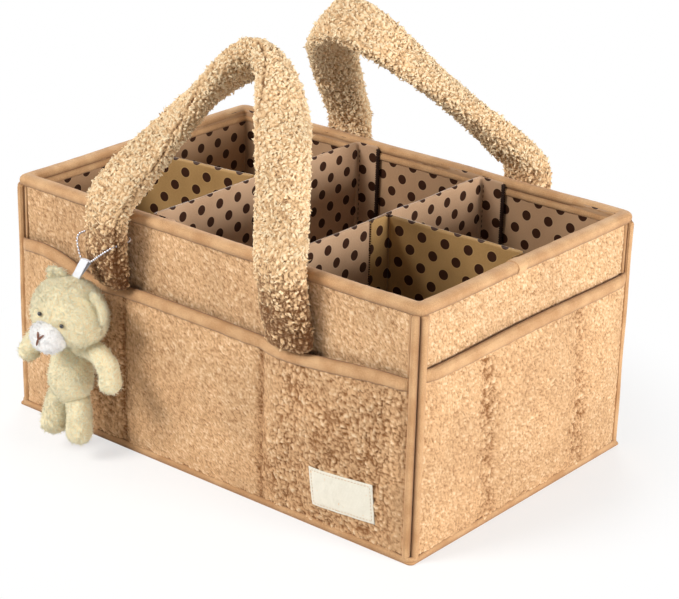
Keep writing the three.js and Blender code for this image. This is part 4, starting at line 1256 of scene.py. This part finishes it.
for place_name, side in (("left", -1), ("right", 1)):
    middle_x = side * CROSS_X
    corners = [
        (middle_x + 21.6, -FLAP_Y), (middle_x, -FLAP_Y), (middle_x, FLAP_Y),
        (middle_x + 21.6, FLAP_Y),
    ]
    halves = (
        [0, 19, 23, 246, 250, 269],
        [FLAP_HALF, FLAP_HALF, PANEL_HALF, PANEL_HALF, FLAP_HALF, FLAP_HALF],
    )
    node_name = f"{place_name}_cross_divider"
    line, away = sleeve(
        f"{place_name}_cross_sleeve", corners, halves, lit_cross_satin, "caddy", 140 + side, node_name,
    )
    for end, label in ((0, "front"), (len(line) - 1, "back")):
        whipped(f"{place_name}_cross_{label}_whip", line, away, end, "caddy", 2.4)
        side_stitches(
            f"{place_name}_cross_{label}_fold", line, away, 8 if end == 0 else end - 8, "caddy"
        )
    use_greyboard(f"{place_name}_cross_divider_board")

for place_name, (fold, skew, side) in FOLD_AT.items():
    turn = math.radians(skew if side > 0 else 180 + skew)
    spin = np.array([(math.cos(turn), -math.sin(turn)), (math.sin(turn), math.cos(turn))])
    down_wall = np.array([0.0, -side])
    from_wall = np.array([-side, 0.0])
    corner = spin @ (PANEL_REACH, PANEL_HALF) + from_wall * FLAP_HALF
    tip = corner + down_wall * (2 * PANEL_HALF + 14)
    meet = spin @ (PANEL_REACH, 0)
    meet[0] = corner[0]
    corners = [np.array(fold) + v for v in (spin @ (-1.4, 0), meet, tip)]
    halves = ([0, 1.5, 108, 112, 140], [0.5, PANEL_HALF, PANEL_HALF, FLAP_HALF, FLAP_HALF])
    body = f"{place_name}_divider"
    line, away = sleeve(
        f"{place_name}_long_sleeve", corners, halves, shaded_long_satin, body, 150 + side, body,
    )
    whipped(f"{place_name}_long_whip", line, away, len(line) - 1, body)
    side_stitches(f"{place_name}_long_fold", line, away, len(line) - 5, body)
    use_greyboard(f"{body}_board")
    low, high = box_of(f"{place_name}_divider_tab")
    x = (low[0] + high[0]) / 2
    corners = [(x, low[1]), (x, high[1])]
    halves = ([0, 22], [FLAP_HALF - 0.1] * 2)
    line, away = sleeve(
        f"{place_name}_tab", corners, halves, shaded_long_satin, "caddy", 160 + side,
        f"{place_name}_divider_tab",
    )
    for end, label in ((0, "front"), (len(line) - 1, "back")):
        whipped(f"{place_name}_tab_{label}_whip", line, away, end, "caddy", -0.5)

# Bear charm: a small stuffed bear of short cream plush, sewn from two halves, with flat ears, a
# white fur muzzle, bead eyes and a stitched nose. Its head, body and limbs are stuffed one by one
# and sewn together. Its places are given from the lowest place of the chain, where it hangs.
HANG_AT = np.array([-91.0, -152.5, 152.0])
HEAD_AT = np.array([-4.5, -11.5, -36.0])
HEAD_HALF = np.array([29.5, 24.5, 25.5])
HEAD_TURN = (14, 15, 5)
BEAR_KNOT = 1.8
BEAR_DEPTH = 0.85


def turn_by(about_x, about_y, about_z):
    """The turn of a piece: about Y first, then X, then Z, in degrees."""
    x, y, z = [
        Matrix.Rotation(math.radians(v), 3, axis)
        for v, axis in zip((about_x, about_y, about_z), "XYZ")
    ]
    return np.array(z @ x @ y)


def stuffed_ball(half, fineness):
    """A round stuffed form: its points, the direction square to it at each, and its faces."""
    form = bmesh.new()
    bmesh.ops.create_icosphere(form, subdivisions=fineness, radius=1)
    points = np.array([v.co for v in form.verts])
    faces = [[v.index for v in face.verts] for face in form.faces]
    form.free()
    return points * half, unit(points / half), faces


head_turn = turn_by(*HEAD_TURN)


def on_head(local):
    """Places given from the middle of the head in its own directions, in the shared frame."""
    return np.asarray(local) @ head_turn.T + HEAD_AT + HANG_AT


bear_plush = plush_finish("bear_plush", (250, 220, 166), (255, 240, 196), (255, 250, 222), 0.5, 0.9)
muzzle_plush = plush_finish(
    "muzzle_plush", (226, 220, 214), (252, 250, 248), (255, 255, 255), 0.5, 0.3
)


def stuffed(
    name, points, faces, shown, pile, hairs, seed, kind="bear_plush", finish=bear_plush
):
    """A stuffed piece of the bear and its fine loose hairs, which stand on the high places of the
    pile, most of them combed down. shown is the height in the pile that the shader is given."""
    piece = make_piece(f"{name}_plush", points, faces, finish, kind, pile=shown)
    mount(piece, "bear", name)
    quads = np.array(
        [face if len(face) == 4 else [*face, face[-1]] for face in faces if len(face) < 5]
    )
    away = square_to(points, quads)
    away *= np.sign(np.sum(away * (points - points.mean(axis=0)), axis=1)).mean()
    points, faces, heights = curls(points, away, pile, hairs, 2.5, 0.5, seed, 4)
    # The hairs run from painted shade at their base to a painted highlight at their tip.
    hair = make_piece(
        f"{name}_hairs", points, faces, finish, kind, pile=0.9 + 0.6 * (heights - 0.6)
    )
    mount(hair, "bear")


points, away, faces = stuffed_ball(HEAD_HALF, 6)
up = points[:, 2] / HEAD_HALF[2]
points[:, 0] *= 1 - 0.07 * up - 0.05 * np.maximum(up, 0) ** 2
points[:, 1] *= 1 - 0.05 * up
cheeks = (
    np.exp(-(((np.abs(points[:, 0]) - 19) / 9) ** 2 + ((points[:, 2] + 8) / 11) ** 2))
    * (points[:, 1] < 4)
)
points += away * (1.2 * cheeks)[:, None]
seam = np.exp(-((points[:, 0] / 0.7) ** 2)) * np.clip((points[:, 2] + 4) / 8, 0, 1)
socket = sum(
    np.exp(-(((points[:, 0] - x) / 4.2) ** 2 + ((points[:, 2] - 6.5) / 3.6) ** 2))
    for x in (-10, 10)
)
points -= away * (0.6 * seam + 1.3 * socket * (points[:, 1] < 0))[:, None]
points += away * (0.5 * waves(points, 26, 201))[:, None]
points, pile = raise_pile(points, away, BEAR_KNOT, BEAR_DEPTH, 202)
# Painted shade: the pile colour is darker along the seam and in the eye sockets.
shown = pile - 0.35 * seam - 0.3 * socket
stuffed("bear_head", on_head(points), faces, shown, pile - 0.5 * socket, 3000, 206)

points, away, faces = stuffed_ball(np.array([14.0, 12.0, 11.8]), 5)
cleft = np.exp(-((points[:, 0] / 1.1) ** 2)) * (points[:, 1] < 0) * (points[:, 2] < 3)
points -= away * (0.7 * cleft)[:, None]
points, pile = raise_pile(points, away, 1.5, 0.6, 211)
bald = (np.abs(points[:, 0]) < 3.5) * (points[:, 2] > -5)
points = on_head(points + (0, -HEAD_HALF[1], -8))
stuffed(
    "bear_muzzle", points, faces, pile + 0.15, pile - bald, 700, 212, "muzzle_plush",
    muzzle_plush,
)

eye_gloss, tree, shader, place = new_finish("eye_gloss", Roughness=0.06, Coat_Weight=0.6)
dress(
    tree, shader,
    blend_colours(tree, noise(tree, place, 900.0, 3.0), linear(9, 7, 6), linear(28, 20, 16)),
)
for label, x in (("left", -10.0), ("right", 10.0)):
    points, away, faces = stuffed_ball(np.array([1.75, 1.75, 1.75]), 3)
    depth = HEAD_HALF[1] * math.sqrt(1 - (x / HEAD_HALF[0]) ** 2 - (6.5 / HEAD_HALF[2]) ** 2)
    points *= (1, 0.8, 1)
    points = on_head(points + (x, -depth - 0.3, 6.5))
    eye = make_piece(f"bear_{label}_eye_bead", points, faces, eye_gloss, "eye")
    mount(eye, "bear", f"bear_{label}_eye")

nose_thread = thread_finish(
    "nose_thread", (84, 42, 20), (122, 68, 38), Roughness=0.5, Sheen_Weight=0.2
)
nose_lines = [[(-2.6, 6.0), (-0.2, 2.4)], [(2.6, 6.0), (0.2, 2.4)], [(0, 2.4), (0, -2.4)]]
centres, ahead, outward = [], [], []
for (x0, z0), (x1, z1) in nose_lines:
    for twist in (-0.35, 0.35):
        middle = np.array([(x0 + x1) / 2 + twist * 0.6, 0, (z0 + z1) / 2 + 3])
        out = 12.0 * math.sqrt(max(0.1, 1 - (middle[0] / 13.5) ** 2 - (middle[2] / 11.5) ** 2))
        normal = np.array([middle[0] / 13.5**2, -out / 144, middle[2] / 11.5**2])
        centres.append(on_head(middle + (0, -HEAD_HALF[1] - out - 0.8, -8)))
        ahead.append(np.array([x1 - x0, (z1 - z0) * middle[2] / out, z1 - z0]) @ head_turn.T)
        outward.append(normal / np.linalg.norm(normal) @ head_turn.T)
form, faces = small_ball(8, 10)
lengths = np.linalg.norm(ahead, axis=1)
points = []
for centre, run, out, length in zip(centres, ahead, outward, lengths):
    stitch, _ = scatter(form * (length * 1.1, 1.3, 1.3), faces, centre[None], run[None], out[None])
    points.append(stitch)
faces = np.concatenate([faces + k * len(form) for k in range(len(points))])
mount(make_piece("bear_nose_stitches", np.concatenate(points), faces, nose_thread, "eye"), "bear")

# The left ear stands up short on the head, the right one is longer and folded down along its side
EARS = {
    "left": ((8.6, 3.8, 7.4), (0, -30, 0), (-18.8, 6, 19)),
    "right": ((7.2, 3.6, 13.0), (0, -28, -14), (24.0, 1, 15.5)),
}
for label, side in (("left", -1), ("right", 1)):
    half, turned, ear_at = EARS[label]
    points, away, faces = stuffed_ball(np.array(half), 5)
    off_middle = (
        (points[:, 0] / (0.5 * half[0])) ** 2 + ((points[:, 2] - 0.5) / (0.6 * half[2])) ** 2
    )
    hollow = np.exp(-off_middle) * (points[:, 1] < 0)
    points[:, 1] += 0.9 * half[1] * hollow + 0.035 * points[:, 0] ** 2 - 1.0
    points, pile = raise_pile(points, away, BEAR_KNOT, 0.7, 221 + side)
    points = on_head(points @ turn_by(*turned).T + ear_at)
    # Painted shade: the ear's hollow gets a darker pile colour.
    stuffed(f"bear_{label}_ear", points, faces, pile - 0.2 * hollow, pile, 500, 223 + side)

TORSO_AT = np.array([-8.0, -9.0, -87.0])
TORSO_RADII = [5, 12, 16.5, 18, 17.5, 16, 13, 8]
shares = np.linspace(0.005, 0.995, 88)
radii = np.interp(shares, [0, *(np.arange(8) + 0.4) / 7.8, 1], [0, *TORSO_RADII, 0])
padded = np.pad(radii, 3, mode="reflect", reflect_type="odd")
radii = np.convolve(padded, np.hanning(9)[1:-1] / np.hanning(9).sum(), "valid")
radii = np.maximum(radii, 0.4)
turns = np.linspace(0, 2 * math.pi, 132, endpoint=False)
rings = []
for share, r in zip(shares, radii):
    rings.append([(r * math.cos(t), 0.84 * r * math.sin(t), 56 * (share - 0.5)) for t in turns])
points, faces = skin(np.array(rings))
away = square_to(points, np.array(faces[:-2]))
away *= np.sign(np.sum(away[6000] * points[6000]))
seam = np.exp(-((points[:, 0] / 0.7) ** 2)) * (points[:, 1] < 0)
points -= away * (0.6 * seam)[:, None]
points += away * (0.5 * waves(points, 22, 231))[:, None]
points, pile = raise_pile(points, away, BEAR_KNOT, BEAR_DEPTH, 232)
points = points @ turn_by(0, 4, 0).T + TORSO_AT + HANG_AT
# Painted shade: the pile colour is darker along the seam.
stuffed("bear_body", points, faces, pile - 0.35 * seam, pile, 1500, 233)

LIMBS = {
    "bear_right_arm": (
        7.8, [(-4, -9, -63), (14, -9, -62), (27, -10, -66), (34, -11, -75), (35, -12, -89)]
    ),
    "bear_left_arm": (
        7.8, [(-12, -9, -63), (-28, -9, -63), (-40, -10, -68), (-48, -11, -77), (-50, -12, -88)]
    ),
    "bear_right_leg": (9.5, [(-3, -9, -100), (1, -10, -116), (3, -13, -139)]),
    "bear_left_leg": (9.5, [(-18, -9, -100), (-22, -10, -116), (-26, -13, -139)]),
}


def smooth_line(places, step):
    """A smooth line through the given places, at even steps."""
    places = np.array(places, dtype=float)
    padded = np.concatenate([[2 * places[0] - places[1]], places, [2 * places[-1] - places[-2]]])
    line = []
    for before, start, end, after in zip(padded, padded[1:], padded[2:], padded[3:]):
        for t in np.linspace(0, 1, 30, endpoint=False):
            line.append(
                0.5 * (
                    2 * start + (end - before) * t
                    + (2 * before - 5 * start + 4 * end - after) * t**2
                    + (3 * start - before - 3 * end + after) * t**3
                )
            )
    line = np.array(line + [places[-1]])
    along = length_along(line)
    at = np.linspace(0, along[-1], round(along[-1] / step) + 1)
    return places_at(at, along, line), at


def tube(line, side, size, count):
    """Rings of points round a line, of one size or one each, begun square to the side direction."""
    run = unit(np.gradient(line, axis=0))
    across = unit(np.cross(side, run))
    through = np.cross(run, across)
    turns = np.linspace(0, 2 * math.pi, count, endpoint=False)
    size = np.broadcast_to(size, len(line))[:, None, None]
    return line[:, None] + size * (
        across[:, None] * np.cos(turns)[None, :, None]
        + through[:, None] * np.sin(turns)[None, :, None]
    )


LIMB_SIDES = 84
for number, (name, (radius, places)) in enumerate(LIMBS.items()):
    line, along = smooth_line(places, 0.6)
    near = np.minimum(along, along[-1] - along)
    size = radius * np.sqrt(1 - (1 - np.clip(near / radius, 0.02, 1)) ** 2)
    size *= 0.94 + 0.1 * along / along[-1]
    points, faces = skin(tube(line, (0, 1, 0), size, LIMB_SIDES))
    away = square_to(points, np.array(faces[:-2]))
    centre = len(line) // 2
    at = centre * LIMB_SIDES
    away *= np.sign(np.sum(away[at] * (points[at] - line[centre])))
    points += away * (0.4 * waves(points, 15, 240 + number))[:, None]
    points, pile = raise_pile(points, away, BEAR_KNOT, BEAR_DEPTH, 250 + number)
    stuffed(name, points + HANG_AT, faces, pile, pile, 800, 260 + number)

# Ball chain: hollow steel beads crimped on a wire, in one closed loop round the strap's end. It is
# fixed to the caddy, and the bear turns about its lowest place.
CHAIN_BEAD = 1.9
CHAIN_PITCH = 2.3
CHAIN_WIRE_HALF = 0.33
CHAIN_SIDE = (0.1, 0.2, 1.0)

chain_steel, tree, shader, place = new_finish("chain_steel", Metallic=1.0)
scratch = noise(tree, place, 2200.0, 4.0)
dress(tree, shader, blend_colours(tree, scratch, linear(176, 176, 182), linear(232, 232, 236)))
tree.links.new(span(tree, scratch, 0.3, 0.7, 0.12, 0.3), shader.inputs["Roughness"])


def chain_place(share):
    turn = 2 * math.pi * share - math.pi / 2
    c = math.copysign(abs(math.cos(turn)) ** 0.5, math.cos(turn))
    s = math.copysign(abs(math.sin(turn)) ** 0.5, math.sin(turn))
    middle_x, reach, back_y = -85.3, 18.8, -126.9
    low = HANG_AT[0] - middle_x
    off = c * reach - low
    width = reach - low if off > 0 else reach + low
    away = max(0.0, abs(off) - 4.6) / (width - 4.6) if s < 0 else 1.0
    middle_y, half_y = (back_y + HANG_AT[1]) / 2, (back_y - HANG_AT[1]) / 2
    return middle_x + c * reach, middle_y + s * half_y, HANG_AT[2] + 16 * away


loop = np.array([chain_place(k / 400) for k in range(401)])
along = length_along(loop)
beads = round(along[-1] / CHAIN_PITCH)
at = (np.arange(beads) + 0.5) / beads * along[-1]
centres = places_at(at, along, loop)
ahead = places_at(at + 0.3, along, loop) - centres
form, faces = small_ball(12, 14)
points, faces = scatter(form * CHAIN_BEAD, faces, centres, ahead, np.tile(CHAIN_SIDE, (beads, 1)))
wire = tube(loop[:-1], [-v for v in CHAIN_SIDE], CHAIN_WIRE_HALF, 6)
wire_faces = grid_faces(len(wire), 6, ring=True, loop=True) + len(points)
points = np.concatenate([points, wire.reshape(-1, 3)])
faces = np.concatenate([faces, wire_faces])
mount(make_piece("ball_chain_beads", points, faces, chain_steel, "chain"), "caddy", "ball_chain")

# Hang tag: a bare silver-white ribbon doubled over the chain, its two ends sewn into the seam at
# the top of the head.
RIBBON_WIDTH = 7.6
RIBBON_EYE = 2.2
RIBBON_LEAN = 32

ribbon_satin = woven_finish(
    "ribbon_satin", 0.3, 0.4, (212, 214, 222), (238, 240, 246), Roughness=0.32, Sheen_Weight=0.2
)

lean = math.radians(RIBBON_LEAN)
down = np.array([-math.sin(lean), -math.cos(lean)])
front = np.array([-math.cos(lean), math.sin(lean)])
path = [down * 13.5 + front * 0.35, down * 8 + front * 1.0, down * 4 + front * 1.7]
for t in np.linspace(1.2, 2 * math.pi - 1.2, 13):
    path.append(math.cos(t) * down * RIBBON_EYE + math.sin(t) * front * RIBBON_EYE)
path += [down * 4 - front * 1.7, down * 8 - front * 1.0, down * 13.5 - front * 0.35]
path, along = smooth_line([(y, z, 0) for y, z in path], 0.4)
path = path[:, :2] + (0, -0.7)
run = np.gradient(path, axis=0)
outward = unit(np.column_stack([-run[:, 1], run[:, 0]]))
across = np.linspace(-RIBBON_WIDTH / 2, RIBBON_WIDTH / 2, 15)
sheets = []
for off in (0.16, -0.16):
    at = path + outward * off
    cup = 0.12 * np.cos(across / RIBBON_WIDTH * 2 * math.pi)
    y, z = at[:, :1] + outward[:, :1] * cup, at[:, 1:] + outward[:, 1:] * cup
    sheets.append(np.stack([across[None] + 0.3 * z, y, z], axis=-1))
points, faces = sheet_between(*sheets)
tag = make_piece("ribbon_tag", points + HANG_AT, faces, ribbon_satin, "label")
mount(tag, "bear", "hang_tag")

# Studio: a pale floor that runs on as the background, soft lights from the front left, the back
# left and the right, and the camera where the photograph was taken from.
CAMERA_AZIMUTH = 38.99
CAMERA_ELEVATION = 22.16
CAMERA_ROLL = 1.62
CAMERA_AT = (0.9740, -1.1791, 0.7258)
CAMERA_LENS = 117.1


def seen_rays(tree):
    """1 where the camera looks, straight or in a reflection or through a pane, and else 0."""
    rays = node(tree, "LightPath").outputs
    straight = maths(tree, "MAXIMUM", rays["Is Camera Ray"], rays["Is Glossy Ray"])
    return maths(tree, "MAXIMUM", straight, rays["Is Transmission Ray"])


floor_finish, tree, shader, place = new_finish(
    "studio_floor", Roughness=0.9, Specular_IOR_Level=0.1, Base_Color=linear(250, 250, 250)
)
glow = node(tree, "Emission", {"Color": (1, 1, 1, 1), "Strength": 1.0})
far = node(tree, "VectorMath", {0: place, 1: (0, 0, 0)}, operation="DISTANCE").outputs["Value"]
lit = maths(tree, "MULTIPLY", seen_rays(tree), span(tree, far, 0.2, 0.34, 0.65, 1.0))
both = node(tree, "MixShader", {0: lit, 1: shader.outputs[0], 2: glow.outputs[0]})
tree.links.new(both.outputs[0], tree.nodes["Material Output"].inputs["Surface"])
floor_mesh = bpy.data.meshes.new("studio_floor")
floor_mesh.from_pydata([(-6, -6, 0), (6, -6, 0), (6, 6, 0), (-6, 6, 0)], [], [(0, 1, 2, 3)])
floor_mesh.materials.append(floor_finish)
floor = bpy.data.objects.new("studio_floor", floor_mesh)
bpy.context.scene.collection.objects.link(floor)

world = bpy.data.worlds.new("studio")
bpy.context.scene.world = world
world.use_nodes = True
tree = world.node_tree
background = tree.nodes["Background"]
tree.links.new(span(tree, seen_rays(tree), 0.0, 1.0, 0.25, 1.0), background.inputs["Strength"])
background.inputs["Color"].default_value = (1, 1, 1, 1)

LAMP_COLOUR = (1.0, 0.985, 0.96)
LAMPS_AIM = Vector((0, 0, 0.1))


def soft_light(name, at, size, watts):
    lamp = bpy.data.lights.new(name, "AREA")
    lamp.shape, lamp.size, lamp.energy, lamp.color = "DISK", size, watts, LAMP_COLOUR
    holder = bpy.data.objects.new(name, lamp)
    holder.location = at
    holder.rotation_euler = (LAMPS_AIM - Vector(at)).to_track_quat("-Z", "Y").to_euler()
    bpy.context.scene.collection.objects.link(holder)


soft_light("key", (-0.85, -1.9, 1.7), 1.2, 60)
soft_light("back", (-1.5, 1.9, 1.3), 1.2, 30)
soft_light("side", (2.4, 0.25, 0.55), 0.8, 58)

azimuth, elevation, roll = [
    math.radians(v) for v in (CAMERA_AZIMUTH, CAMERA_ELEVATION, CAMERA_ROLL)
]
sideways = Vector((math.cos(azimuth), math.sin(azimuth), 0))
level = math.cos(elevation)
towards = Vector((math.sin(azimuth) * level, -math.cos(azimuth) * level, math.sin(elevation)))
upright = towards.cross(sideways)
right = math.cos(roll) * sideways + math.sin(roll) * upright
above = math.cos(roll) * upright - math.sin(roll) * sideways
camera = bpy.data.objects.new("camera", bpy.data.cameras.new("camera"))
camera.matrix_world = (
    Matrix.Translation(CAMERA_AT) @ Matrix((right, above, towards)).transposed().to_4x4()
)
camera.data.lens = CAMERA_LENS
camera.data.sensor_width = 36
bpy.context.scene.collection.objects.link(camera)
bpy.context.scene.camera = camera
bpy.context.scene.view_settings.view_transform = "Standard"
